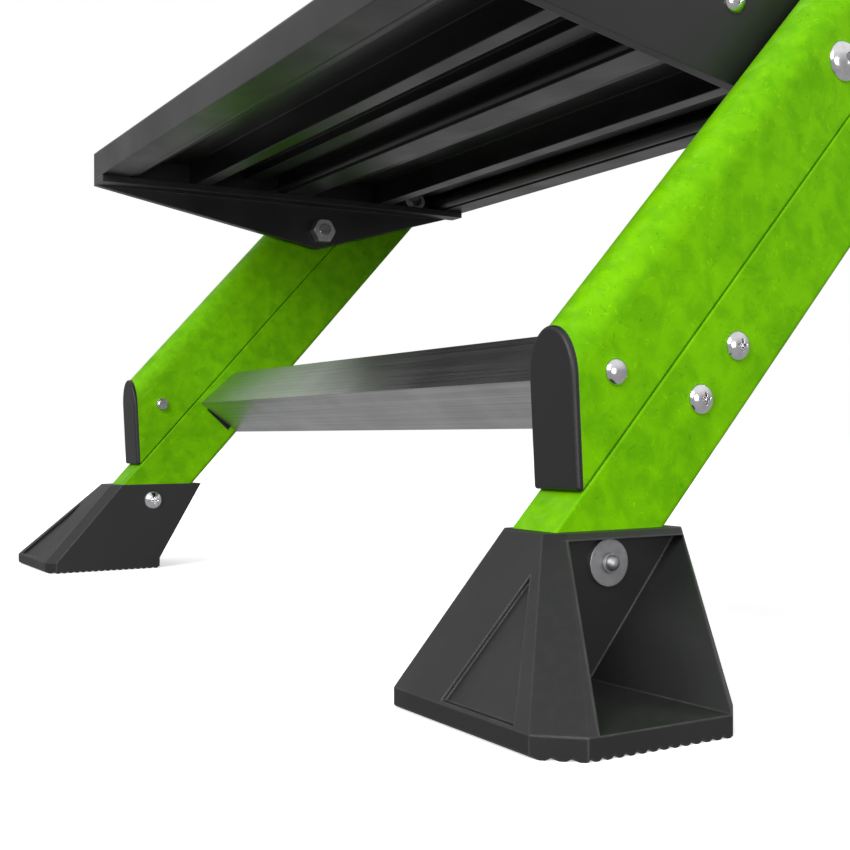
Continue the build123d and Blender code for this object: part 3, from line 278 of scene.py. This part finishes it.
# %% Drawn lines group
drawn_lines, group_in, group_out = group_tree(
    "drawn_lines",
    [("Stretch", "NodeSocketVector", (4.0, 900.0, 900.0))],
    [("Lines", "NodeSocketFloat"), ("Scratches", "NodeSocketFloat")])
place = add_node(drawn_lines, "ShaderNodeTexCoord").outputs["Object"]
stretched = add_node(drawn_lines, "ShaderNodeVectorMath", {0: place, 1: group_in.outputs["Stretch"]},
                     operation="MULTIPLY").outputs[0]
lines = add_node(drawn_lines, "ShaderNodeTexNoise", {"Vector": stretched, "Scale": 1.0, "Detail": 4.0}).outputs[0]
turned = add_node(drawn_lines, "ShaderNodeMapping", {"Vector": place, "Rotation": (0.6, 0.9, 0.4),
                                                     "Scale": (30.0, 1600.0, 1600.0)}).outputs[0]
nicks = add_node(drawn_lines, "ShaderNodeTexNoise", {"Vector": turned, "Scale": 1.0, "Detail": 1.0}).outputs[0]
drawn_lines.links.new(lines, group_out.inputs["Lines"])
drawn_lines.links.new(smooth_range(drawn_lines, nicks, 0.7, 0.78), group_out.inputs["Scratches"])
print("group", drawn_lines.name)

# %% [markdown]
# ## Materials
#
# Each finish is one material. They all start from the same function, which makes the Principled shader and sets its
# constant values straight on its sockets. What changes over the surface is then linked: colour, roughness and normal.

# %% Material helpers


def new_material(name, roughness, specular, metallic=0.0):
    material = bpy.data.materials.new(name)
    material.use_nodes = True
    tree = material.node_tree
    tree.nodes.clear()
    shader = add_node(tree, "ShaderNodeBsdfPrincipled", {
        "Roughness": roughness, "Specular IOR Level": specular, "Metallic": metallic})
    output = tree.nodes.new("ShaderNodeOutputMaterial")
    tree.links.new(shader.outputs[0], output.inputs["Surface"])
    return material, tree, shader


def link(tree, value, socket):
    tree.links.new(value, socket)


def bump(tree, height, strength, distance, normal=None):
    node = add_node(tree, "ShaderNodeBump", {"Height": height, "Strength": strength, "Distance": distance})
    if normal is not None:
        tree.links.new(normal, node.inputs["Normal"])
    return node.outputs[0]


# %% [markdown]
# ### Green fibreglass
#
# Strong green resin with the veil in it. The surface is smooth but not mirror-like, and its reflections stay weak, so
# the green looks pure even under white light.

# %% Green fibreglass
RESIN_DARK = (0.066, 0.258, 0.0, 1.0)
RESIN_LIGHT = (0.178, 0.49, 0.0, 1.0)
DUST_COLOUR = (0.42, 0.38, 0.30, 1.0)

fibreglass, tree, shader = new_material("green_fibreglass_finish", 0.5, 0.06)
veil = use_group(tree, fibre_veil, {"Curl Scale": 230.0, "Mottle Scale": 95.0})
dust = use_group(tree, settled_dust, {"Amount": 0.05})
resin = mix_colour(tree, veil.outputs["Tone"], RESIN_DARK, RESIN_LIGHT)
link(tree, mix_colour(tree, dust.outputs["Mask"], resin, DUST_COLOUR), shader.inputs["Base Color"])
link(tree, smooth_range(tree, veil.outputs["Tone"], 0.2, 0.8, 0.58, 0.42), shader.inputs["Roughness"])
edges = use_group(tree, edge_wear_and_highlight, {"Width": 0.0008, "Breakup": 0.2})
link(tree, bump(tree, veil.outputs["Height"], 0.12, 0.0003, edges.outputs["Normal"]), shader.inputs["Normal"])
print("material", fibreglass.name)

# %% [markdown]
# ### Black plastic and rubber
#
# The feet and caps are moulded in black nylon: satin, with corners painted lighter for wear and as a painted
# highlight. The rear leg's sole is rubber, which is duller, with much fainter corners of the same kind.

# %% Black plastic and rubber
PLASTIC_BLACK = (0.0085, 0.0085, 0.0092, 1.0)
# PLASTIC_EDGE and RUBBER_EDGE colour the corners: wear and a painted highlight together
PLASTIC_EDGE = (0.075, 0.075, 0.077, 1.0)
RUBBER_BLACK = (0.0085, 0.0085, 0.0085, 1.0)
RUBBER_EDGE = (0.03, 0.03, 0.03, 1.0)


def moulded(name, body_colour, edge_colour, roughness, specular, grain_scale, grain_depth):
    material, tree, shader = new_material(name, roughness, specular)
    grain = use_group(tree, surface_grain, {"Grain Scale": grain_scale, "Cloud Scale": 18.0})
    edges = use_group(tree, edge_wear_and_highlight, {"Width": 0.0011, "Breakup": 0.45})
    dust = use_group(tree, settled_dust, {"Amount": 0.008})
    # corners painted lighter by the edge mask: wear plus a painted highlight
    colour = mix_colour(tree, edges.outputs["Mask"], body_colour, edge_colour)
    link(tree, mix_colour(tree, dust.outputs["Mask"], colour, DUST_COLOUR), shader.inputs["Base Color"])
    link(tree, smooth_range(tree, grain.outputs["Cloud"], 0.3, 0.7, roughness - 0.06, roughness + 0.08),
         shader.inputs["Roughness"])
    link(tree, bump(tree, grain.outputs["Height"], grain_depth, 0.0002, edges.outputs["Normal"]),
         shader.inputs["Normal"])
    return material


plastic = moulded("black_plastic_finish", PLASTIC_BLACK, PLASTIC_EDGE, 0.46, 0.4, 2200.0, 0.25)
rubber = moulded("black_rubber_finish", RUBBER_BLACK, RUBBER_EDGE, 0.72, 0.3, 1400.0, 0.4)
print("materials", plastic.name, rubber.name)

# %% [markdown]
# ### Black coated aluminium
#
# Treads and side plates are extrusions with a semi-gloss black powder coat, which thins at the corners. The
# corners are painted lighter, for that wear and as a painted highlight.

# %% Black coated aluminium
COATING_BLACK = (0.011, 0.011, 0.0115, 1.0)
# COATING_EDGE colours the corners: wear plus a painted highlight
COATING_EDGE = (0.07, 0.07, 0.072, 1.0)

coating = moulded("black_coated_aluminium_finish", COATING_BLACK, COATING_EDGE, 0.34, 0.42, 1100.0, 0.18)
print("material", coating.name)

# %% [markdown]
# ### Bare metals
#
# The rung is mill-finish aluminium with drawn lines. Nuts and washers are dull zinc, while screws, bolts and rivets
# are bright, so they mirror their surroundings. The spacers are plain white nylon.

# %% Bare metals and nylon


def bare_metal(name, low_colour, high_colour, roughness, stretch, line_depth):
    material, tree, shader = new_material(name, roughness, 0.5, metallic=1.0)
    drawn = use_group(tree, drawn_lines, {"Stretch": stretch})
    grain = use_group(tree, surface_grain, {"Grain Scale": 900.0, "Cloud Scale": 22.0})
    tone = math(tree, "MULTIPLY_ADD", drawn.outputs["Lines"], 0.6, math(tree, "MULTIPLY", grain.outputs["Cloud"], 0.4))
    colour = mix_colour(tree, smooth_range(tree, tone, 0.35, 0.65), low_colour, high_colour)
    link(tree, mix_colour(tree, math(tree, "MULTIPLY", drawn.outputs["Scratches"], 0.35), colour, (0.8, 0.8, 0.8, 1.0)),
         shader.inputs["Base Color"])
    link(tree, smooth_range(tree, tone, 0.3, 0.7, roughness + 0.07, roughness - 0.05), shader.inputs["Roughness"])
    edges = use_group(tree, edge_wear_and_highlight, {"Width": 0.0006, "Breakup": 0.2})
    link(tree, bump(tree, drawn.outputs["Lines"], line_depth, 0.0002, edges.outputs["Normal"]), shader.inputs["Normal"])
    return material


ALONG_X = (4.0, 900.0, 900.0)
ALL_ROUND = (260.0, 260.0, 260.0)
MILL_COLOURS = ((0.42, 0.42, 0.43, 1.0), (0.55, 0.55, 0.56, 1.0))
STEEL_COLOURS = ((0.30, 0.30, 0.31, 1.0), (0.40, 0.40, 0.41, 1.0))
ZINC_COLOURS = ((0.60, 0.60, 0.62, 1.0), (0.74, 0.74, 0.76, 1.0))
NYLON_DARK = (0.50, 0.49, 0.44, 1.0)
NYLON_LIGHT = (0.66, 0.65, 0.60, 1.0)

mill = bare_metal("mill_aluminium_finish", *MILL_COLOURS, 0.36, ALONG_X, 0.25)
steel = bare_metal("plain_steel_finish", *STEEL_COLOURS, 0.50, ALL_ROUND, 0.1)
zinc = bare_metal("bright_zinc_finish", *ZINC_COLOURS, 0.16, ALL_ROUND, 0.04)

nylon, tree, shader = new_material("white_nylon_finish", 0.5, 0.4)
grain = use_group(tree, surface_grain, {"Grain Scale": 1200.0, "Cloud Scale": 60.0})
link(tree, mix_colour(tree, grain.outputs["Cloud"], NYLON_DARK, NYLON_LIGHT), shader.inputs["Base Color"])
link(tree, bump(tree, grain.outputs["Height"], 0.2, 0.0002), shader.inputs["Normal"])

FINISHES = {
    "green_fibreglass": fibreglass, "black_plastic": plastic, "black_rubber": rubber,
    "black_coated_aluminium": coating, "mill_aluminium": mill, "plain_steel": steel,
    "bright_zinc": zinc, "white_nylon": nylon,
}
print("finishes", len(FINISHES))

# %% [markdown]
# ## Finishing the engineering parts
#
# Each part came in with a plain material named after its slot, so the right finish is looked up by that name and put
# in the object's material slot. The meshes themselves are left alone.

# %% Put the finishes on the parts
slot_of = {}
for name, part in nodes.items():
    slot_of[name] = part.data.materials[0].name.split(".")[0]
    for material_slot in part.material_slots:
        material_slot.link = "OBJECT"
        material_slot.material = FINISHES[slot_of[name]]
print("parts finished", len(slot_of))

# %% [markdown]
# ## Where the fasteners sit
#
# A node such as rung_screws holds several separate screws. To put a finer head in each one's place we need their
# boxes one by one: a copy of the mesh is merged, split into its islands, and each island's lowest and highest corner
# is kept. The shanks run along X, so the head is at the end that faces away from the ladder's middle.

# %% Boxes of a node's separate solids


def island_boxes(node_name):
    mesh = bmesh.new()
    mesh.from_mesh(nodes[node_name].data)
    bmesh.ops.remove_doubles(mesh, verts=mesh.verts, dist=1e-6)
    waiting = set(mesh.verts)
    boxes = []
    while waiting:
        island, front = set(), [waiting.pop()]
        while front:
            vertex = front.pop()
            island.add(vertex)
            for line in vertex.link_edges:
                other = line.other_vert(vertex)
                if other in waiting:
                    waiting.discard(other)
                    front.append(other)
        low = Vector([min(v.co[axis] for v in island) for axis in range(3)])
        high = Vector([max(v.co[axis] for v in island) for axis in range(3)])
        boxes.append((low, high))
    mesh.free()
    return sorted(boxes, key=lambda box: (round(box[0].x, 4), round(box[0].z, 4), round(box[0].y, 4)))


for name in ("rung_screws", "tread_1_screws", "front_pivot_bolts", "cap_rivets"):
    print(name, len(island_boxes(name)), "solids")

# %% [markdown]
# ## Screw and bolt heads with Geometry Nodes
#
# One tree makes every round-headed fastener. It reshapes a sphere into a crowned head with a flat base, cuts a
# recess with a Mesh Boolean, adds the shank, and places a copy on each point of its input mesh, turned along that
# point's "facing" attribute. Head size, crown, recess and shank are named inputs, so the same tree gives the rung's
# cross screws, the pivots' bolts with a round recess, and the plain rivets of the caps.

# %% Fastener tree


def geometry_tree(name, inputs):
    tree = bpy.data.node_groups.new(name, "GeometryNodeTree")
    tree.interface.new_socket("Geometry", in_out="INPUT", socket_type="NodeSocketGeometry")
    for label, kind, value in inputs:
        socket = tree.interface.new_socket(label, in_out="INPUT", socket_type=kind)
        if value is not None:
            socket.default_value = value
    tree.interface.new_socket("Geometry", in_out="OUTPUT", socket_type="NodeSocketGeometry")
    return tree, tree.nodes.new("NodeGroupInput"), tree.nodes.new("NodeGroupOutput")


def vector_of(tree, x, y, z):
    return add_node(tree, "ShaderNodeCombineXYZ", {"X": x, "Y": y, "Z": z}).outputs[0]


def shift_mesh(tree, geometry, vector):
    return add_node(tree, "GeometryNodeTransform", {"Geometry": geometry, "Translation": vector}).outputs[0]


fastener_tree, given, result = geometry_tree("round_head_fasteners", [
    ("Head Radius", "NodeSocketFloat", 0.006), ("Head Height", "NodeSocketFloat", 0.003),
    ("Crown", "NodeSocketFloat", 1.4), ("Cross Reach", "NodeSocketFloat", 0.0045),
    ("Cross Width", "NodeSocketFloat", 0.0011), ("Recess Radius", "NodeSocketFloat", 0.0),
    ("Recess Depth", "NodeSocketFloat", 0.002), ("Shank Radius", "NodeSocketFloat", 0.0025),
    ("Shank Length", "NodeSocketFloat", 0.02), ("Material", "NodeSocketMaterial", None)])
t = fastener_tree
ball = add_node(t, "GeometryNodeMeshUVSphere", {"Segments": 40, "Rings": 28, "Radius": 1.0}).outputs["Mesh"]
spot = add_node(t, "ShaderNodeSeparateXYZ", {0: add_node(t, "GeometryNodeInputPosition").outputs[0]})
lift = math(t, "POWER", math(t, "MAXIMUM", spot.outputs["Z"], 0.0), given.outputs["Crown"])
head_place = vector_of(t, math(t, "MULTIPLY", spot.outputs["X"], given.outputs["Head Radius"]),
                       math(t, "MULTIPLY", spot.outputs["Y"], given.outputs["Head Radius"]),
                       math(t, "MULTIPLY", lift, given.outputs["Head Height"]))
head = add_node(t, "GeometryNodeSetPosition", {"Geometry": ball, "Position": head_place}).outputs[0]


def recess_bar(length, width):
    """One bar of the cross, narrower at its bottom."""
    cube = add_node(t, "GeometryNodeMeshCube", {"Size": vector_of(
        t, length, width, math(t, "MULTIPLY", given.outputs["Recess Depth"], 2.0))}).outputs["Mesh"]
    here = add_node(t, "GeometryNodeInputPosition").outputs[0]
    below = math(t, "LESS_THAN", add_node(t, "ShaderNodeSeparateXYZ", {0: here}).outputs["Z"], 0.0)
    narrow = add_node(t, "ShaderNodeVectorMath", {0: here, 1: (0.5, 0.5, 1.0)}, operation="MULTIPLY").outputs[0]
    tapered = add_node(t, "GeometryNodeSetPosition", {"Geometry": cube, "Selection": below, "Position": narrow})
    return shift_mesh(t, tapered.outputs[0], vector_of(t, 0.0, 0.0, given.outputs["Head Height"]))


round_tool = add_node(t, "GeometryNodeMeshCylinder", {
    "Vertices": 28, "Radius": given.outputs["Recess Radius"],
    "Depth": math(t, "MULTIPLY", given.outputs["Recess Depth"], 2.0)}).outputs["Mesh"]
round_tool = shift_mesh(t, round_tool, vector_of(t, 0.0, 0.0, given.outputs["Head Height"]))


def cut(geometry, tools, wanted):
    """Cuts with the tools only where their size is above zero."""
    carve = add_node(t, "GeometryNodeMeshBoolean", {0: geometry}, operation="DIFFERENCE", solver="EXACT")
    for tool in tools:
        t.links.new(tool, carve.inputs[1])
    switch = add_node(t, "GeometryNodeSwitch", {"Switch": math(t, "GREATER_THAN", wanted, 0.0), "False": geometry,
                                                "True": carve.outputs["Mesh"]}, input_type="GEOMETRY")
    return switch.outputs[0]


first_bar = recess_bar(given.outputs["Cross Reach"], given.outputs["Cross Width"])
second_bar = recess_bar(given.outputs["Cross Width"], given.outputs["Cross Reach"])
head = cut(head, [first_bar, second_bar], given.outputs["Cross Reach"])
head = cut(head, [round_tool], given.outputs["Recess Radius"])
shank = add_node(t, "GeometryNodeMeshCylinder", {"Vertices": 28, "Radius": given.outputs["Shank Radius"],
                                                 "Depth": given.outputs["Shank Length"]}).outputs["Mesh"]
shank = shift_mesh(t, shank, vector_of(t, 0.0, 0.0, math(t, "MULTIPLY", given.outputs["Shank Length"], -0.5)))
whole = add_node(t, "GeometryNodeJoinGeometry")
t.links.new(head, whole.inputs[0])
t.links.new(shank, whole.inputs[0])
facing = add_node(t, "GeometryNodeInputNamedAttribute", {"Name": "facing"}, data_type="FLOAT_VECTOR").outputs[0]
turn = add_node(t, "FunctionNodeAlignRotationToVector", {"Vector": facing}, axis="Z").outputs[0]
copies = add_node(t, "GeometryNodeInstanceOnPoints", {"Points": given.outputs["Geometry"],
                                                      "Instance": whole.outputs[0], "Rotation": turn}).outputs[0]
real = add_node(t, "GeometryNodeRealizeInstances", {0: copies}).outputs[0]
soft = add_node(t, "GeometryNodeSetShadeSmooth", {"Geometry": real, "Shade Smooth": True}).outputs[0]
painted = add_node(t, "GeometryNodeSetMaterial", {"Geometry": soft, "Material": given.outputs["Material"]}).outputs[0]
t.links.new(painted, result.inputs[0])
print("tree", fastener_tree.name, len(fastener_tree.nodes), "nodes")

# %% [markdown]
# ## From tree to plain mesh
#
# A Geometry Nodes modifier needs an object to sit on. That object's mesh holds one vertex for each fastener and the
# way it faces. After the inputs are set by their identifiers, the evaluated result becomes a plain mesh and the
# modifier is gone, so what rides on the body is ordinary geometry.

# %% Build pieces from a tree


def seat_points(name, places):
    mesh = bpy.data.meshes.new(name)
    mesh.from_pydata([place for place, _ in places], [], [])
    attribute = mesh.attributes.new("facing", "FLOAT_VECTOR", "POINT")
    for number, (_, way) in enumerate(places):
        attribute.data[number].vector = way
    piece = bpy.data.objects.new(name, mesh)
    bpy.context.scene.collection.objects.link(piece)
    return piece


def grow(piece, tree, values):
    """Runs the tree on the piece with these inputs and leaves a plain mesh."""
    modifier = piece.modifiers.new("build", "NODES")
    modifier.node_group = tree
    identifiers = {item.name: item.identifier for item in tree.interface.items_tree if item.in_out == "INPUT"}
    for label, value in values.items():
        modifier[identifiers[label]] = value
    graph = bpy.context.evaluated_depsgraph_get()
    mesh = bpy.data.meshes.new_from_object(piece.evaluated_get(graph))
    piece.modifiers.clear()
    piece.data = mesh
    for polygon in mesh.polygons:
        polygon.use_smooth = True
    mesh.set_sharp_from_angle(angle=radians(32.0))
    return piece


def fasteners(name, node_name, body, seat, values):
    """Replaces one node of fasteners; seat is how far from the ladder's middle the heads' undersides lie."""
    places = []
    for low, high in island_boxes(node_name):
        side = 1.0 if low.x + high.x > 0 else -1.0
        middle = (low + high) / 2
        places.append((Vector((side * seat, middle.y, middle.z)), Vector((side, 0, 0))))
    piece = grow(seat_points(name, places), fastener_tree, {**values, "Material": FINISHES[slot_of[node_name]]})
    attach(piece, body)
    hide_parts(node_name)
    print(name, len(places), "pieces,", len(piece.data.polygons), "faces")
    return piece


# %% [markdown]
# ## The rung's screws and the caps' rivets
#
# Two large cross screws hold the rung's insert in each rear tube, and one dome-headed rivet holds each cap. Their
# seats are the tubes' outer faces, read from the tubes' boxes.

# %% Rung screws and cap rivets
TUBE_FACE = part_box("rear_tube_right")[1].x
RUNG_SCREW_SHANK = 0.021
CAP_RIVET_SHANK = 0.0322


def head_height(node_name, seat):
    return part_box(node_name)[1].x - seat


def head_radius(node_name):
    low, high = island_boxes(node_name)[0]
    return (high.z - low.z) / 2


fasteners("rung_screw_heads", "rung_screws", "frame", TUBE_FACE, {
    "Head Radius": head_radius("rung_screws"), "Head Height": head_height("rung_screws", TUBE_FACE), "Crown": 1.1,
    "Cross Reach": 0.0072, "Cross Width": 0.0016, "Recess Depth": 0.0022, "Shank Radius": 0.0025,
    "Shank Length": RUNG_SCREW_SHANK})
fasteners("cap_rivet_heads", "cap_rivets", "front_rails", TUBE_FACE, {
    "Head Radius": head_radius("cap_rivets"), "Head Height": head_height("cap_rivets", TUBE_FACE), "Crown": 1.2,
    "Cross Reach": 0.0, "Recess Radius": 0.0, "Shank Radius": 0.003, "Shank Length": CAP_RIVET_SHANK})

# %% [markdown]
# ## Fold pivots and tread screws
#
# The pivots have large domed heads with a round recess, seated on the same faces. Their shanks reach through spacer,
# side plate and nut. The treads' own screws are seated on the plates' outer faces.

# %% Pivot bolts and tread screws
for which, body in (("rear", "frame"), ("front", "front_rails")):
    low, _ = island_boxes(f"{which}_pivot_bolts")[-1]
    fasteners(f"{which}_pivot_heads", f"{which}_pivot_bolts", body, TUBE_FACE, {
        "Head Radius": head_radius(f"{which}_pivot_bolts"),
        "Head Height": head_height(f"{which}_pivot_bolts", TUBE_FACE), "Crown": 1.15, "Cross Reach": 0.0,
        "Recess Radius": 0.0031, "Recess Depth": 0.0024, "Shank Radius": 0.005, "Shank Length": TUBE_FACE - low.x})

PLATE_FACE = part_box("tread_1_plate_right")[1].x
TREAD_SCREW_SHANK = 0.03
for step in range(1, 5):
    screws = f"tread_{step}_screws"
    fasteners(f"tread_{step}_screw_heads", screws, f"tread_{step}", PLATE_FACE, {
        "Head Radius": head_radius(screws), "Head Height": head_height(screws, PLATE_FACE), "Crown": 1.2,
        "Cross Reach": 0.007, "Cross Width": 0.0014, "Recess Depth": 0.0018, "Shank Radius": 0.0025,
        "Shank Length": TREAD_SCREW_SHANK})

# %% [markdown]
# ## Grip on the treads
#
# A boot needs more than smooth ridges. The top of each ridge is knurled: low wedges a few millimetres apart. There
# are thousands, so each has only a few faces. The tree makes the grid of points, puts a tapered wedge on each, and is
# run once per tread, because every tread is a body of its own.

# %% Tread grip tree
grip_tree, given, result = geometry_tree("tread_grip", [
    ("Width", "NodeSocketFloat", 0.4), ("Depth", "NodeSocketFloat", 0.2), ("Columns", "NodeSocketInt", 50),
    ("Rows", "NodeSocketInt", 20), ("Wedge Length", "NodeSocketFloat", 0.004),
    ("Wedge Width", "NodeSocketFloat", 0.0022), ("Wedge Height", "NodeSocketFloat", 0.0005),
    ("Place", "NodeSocketVector", (0.0, 0.0, 0.0)), ("Material", "NodeSocketMaterial", None)])
t = grip_tree
field = add_node(t, "GeometryNodeMeshGrid", {
    "Size X": given.outputs["Width"], "Size Y": given.outputs["Depth"], "Vertices X": given.outputs["Columns"],
    "Vertices Y": given.outputs["Rows"]}).outputs["Mesh"]
wedge = add_node(t, "GeometryNodeMeshCube", {"Size": vector_of(
    t, given.outputs["Wedge Length"], given.outputs["Wedge Width"],
    math(t, "MULTIPLY", given.outputs["Wedge Height"], 2.0))}).outputs["Mesh"]
here = add_node(t, "GeometryNodeInputPosition").outputs[0]
upper = math(t, "GREATER_THAN", add_node(t, "ShaderNodeSeparateXYZ", {0: here}).outputs["Z"], 0.0)
drawn_in = add_node(t, "ShaderNodeVectorMath", {0: here, 1: (0.45, 0.4, 1.0)}, operation="MULTIPLY").outputs[0]
wedge = add_node(t, "GeometryNodeSetPosition", {"Geometry": wedge, "Selection": upper, "Position": drawn_in}).outputs[0]
wedges = add_node(t, "GeometryNodeInstanceOnPoints", {"Points": field, "Instance": wedge}).outputs[0]
wedges = add_node(t, "GeometryNodeRealizeInstances", {0: wedges}).outputs[0]
wedges = shift_mesh(t, wedges, given.outputs["Place"])
painted = add_node(t, "GeometryNodeSetMaterial", {"Geometry": wedges, "Material": given.outputs["Material"]}).outputs[0]
t.links.new(painted, result.inputs[0])
print("tree", grip_tree.name, len(grip_tree.nodes), "nodes")

# %% Tread grip pieces
RIDGE_PITCH = 0.007
RIDGE_MARGIN = 0.030             # deck depth that carries no ridge
WEDGE_MARGIN = 0.02              # deck width that carries no wedge
WEDGE_PITCH = 0.009
for step in range(1, 5):
    low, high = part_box(f"tread_{step}_deck")
    rows = int((high.y - low.y - RIDGE_MARGIN) / RIDGE_PITCH)
    columns = int((high.x - low.x - WEDGE_MARGIN) / WEDGE_PITCH)
    piece = grow(seat_points(f"tread_{step}_grip", []), grip_tree, {
        "Width": (columns - 1) * WEDGE_PITCH, "Depth": (rows - 1) * RIDGE_PITCH, "Columns": columns, "Rows": rows,
        "Wedge Length": 0.0052, "Wedge Width": 0.003, "Wedge Height": 0.0006,
        "Place": Vector(((low.x + high.x) / 2, (low.y + high.y) / 2, high.z)), "Material": coating})
    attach(piece, f"tread_{step}")
    print(piece.name, rows, "rows of", columns)

# %% [markdown]
# ## Floor, sky and lights
#
# A pale floor and a white surrounding give the plain studio look. Black plastic only looks right when it has
# something bright to mirror, so the sky does most of the lighting. For everything but the camera it is dimmer near
# the horizon, so sides come out darker than tops, and below the horizon it throws little light, with a steady grey
# for the metals to mirror, which keeps the undersides black. The floor therefore shows to the camera only, and
# glows a little so that it runs into the white surround. Two soft lamps add shape: one low on the right, which throws
# the near rail's soft shadow on the far one, and one high on the climber's side.

# %% Stage
FLOOR_SIZE = 14.0
FLOOR_GLOW = 0.42                # emission strength
FLOOR_DARK = (0.90, 0.90, 0.895, 1.0)
FLOOR_LIGHT = (0.94, 0.94, 0.935, 1.0)
HORIZON_LEVEL = 0.36             # strengths of the surround, for all rays but the camera's
ZENITH_LEVEL = 1.0
GROUND_LEVEL = 0.06
MIRRORED_GROUND_LEVEL = 0.42
CAMERA_LEVEL = 1.0               # what the camera sees of it
floor_mesh = bpy.data.meshes.new("floor")
half = FLOOR_SIZE / 2
floor_mesh.from_pydata([(-half, -half, 0), (half, -half, 0), (half, half, 0), (-half, half, 0)], [], [(0, 1, 2, 3)])
floor = bpy.data.objects.new("floor", floor_mesh)
bpy.context.scene.collection.objects.link(floor)
floor_paint, tree, shader = new_material("floor_paint", 0.7, 0.1)
grain = use_group(tree, surface_grain, {"Grain Scale": 40.0, "Cloud Scale": 0.8})
link(tree, mix_colour(tree, grain.outputs["Cloud"], FLOOR_DARK, FLOOR_LIGHT), shader.inputs["Base Color"])
shader.inputs["Emission Color"].default_value = (1.0, 1.0, 1.0, 1.0)
shader.inputs["Emission Strength"].default_value = FLOOR_GLOW
floor_mesh.materials.append(floor_paint)
floor.visible_diffuse = False
floor.visible_glossy = False

world = bpy.data.worlds.new("studio")
bpy.context.scene.world = world
world.use_nodes = True
tree = world.node_tree
tree.nodes.clear()
heading = add_node(tree, "ShaderNodeSeparateXYZ", {0: add_node(tree, "ShaderNodeTexCoord").outputs["Generated"]})
rays = add_node(tree, "ShaderNodeLightPath")
above = smooth_range(tree, heading.outputs["Z"], -0.02, 0.7, HORIZON_LEVEL, ZENITH_LEVEL)
unlit_ground = smooth_range(tree, heading.outputs["Z"], -0.30, 0.0, GROUND_LEVEL, HORIZON_LEVEL)
ground = add_node(tree, "ShaderNodeMix", {"Factor": rays.outputs["Is Glossy Ray"], "A": unlit_ground,
                                          "B": MIRRORED_GROUND_LEVEL}, data_type="FLOAT").outputs[0]
sky = add_node(tree, "ShaderNodeMix", {"Factor": smooth_range(tree, heading.outputs["Z"], -0.02, 0.02),
                                       "A": ground, "B": above}, data_type="FLOAT").outputs[0]
level = add_node(tree, "ShaderNodeMix", {"Factor": rays.outputs["Is Camera Ray"], "A": sky, "B": CAMERA_LEVEL},
                 data_type="FLOAT").outputs[0]
backdrop = add_node(tree, "ShaderNodeBackground", {"Color": (1.0, 1.0, 1.0, 1.0), "Strength": level})
surround = tree.nodes.new("ShaderNodeOutputWorld")
tree.links.new(backdrop.outputs[0], surround.inputs["Surface"])


def soft_lamp(name, place, target, width, power):
    data = bpy.data.lights.new(name, "AREA")
    data.shape = "SQUARE"
    data.size = width
    data.energy = power
    lamp = bpy.data.objects.new(name, data)
    lamp.location = place
    lamp.rotation_mode = "QUATERNION"
    lamp.rotation_quaternion = (Vector(target) - Vector(place)).to_track_quat("-Z", "Y")
    bpy.context.scene.collection.objects.link(lamp)


soft_lamp("lamp_low_right", (2.4, -1.3, 0.35), (0.0, -0.6, 0.2), width=0.7, power=26.0)
soft_lamp("lamp_climber_side", (1.3, -3.1, 1.7), (0.0, -0.6, 0.3), width=1.6, power=80.0)
bpy.context.scene.view_settings.view_transform = "Standard"
print("stage set")
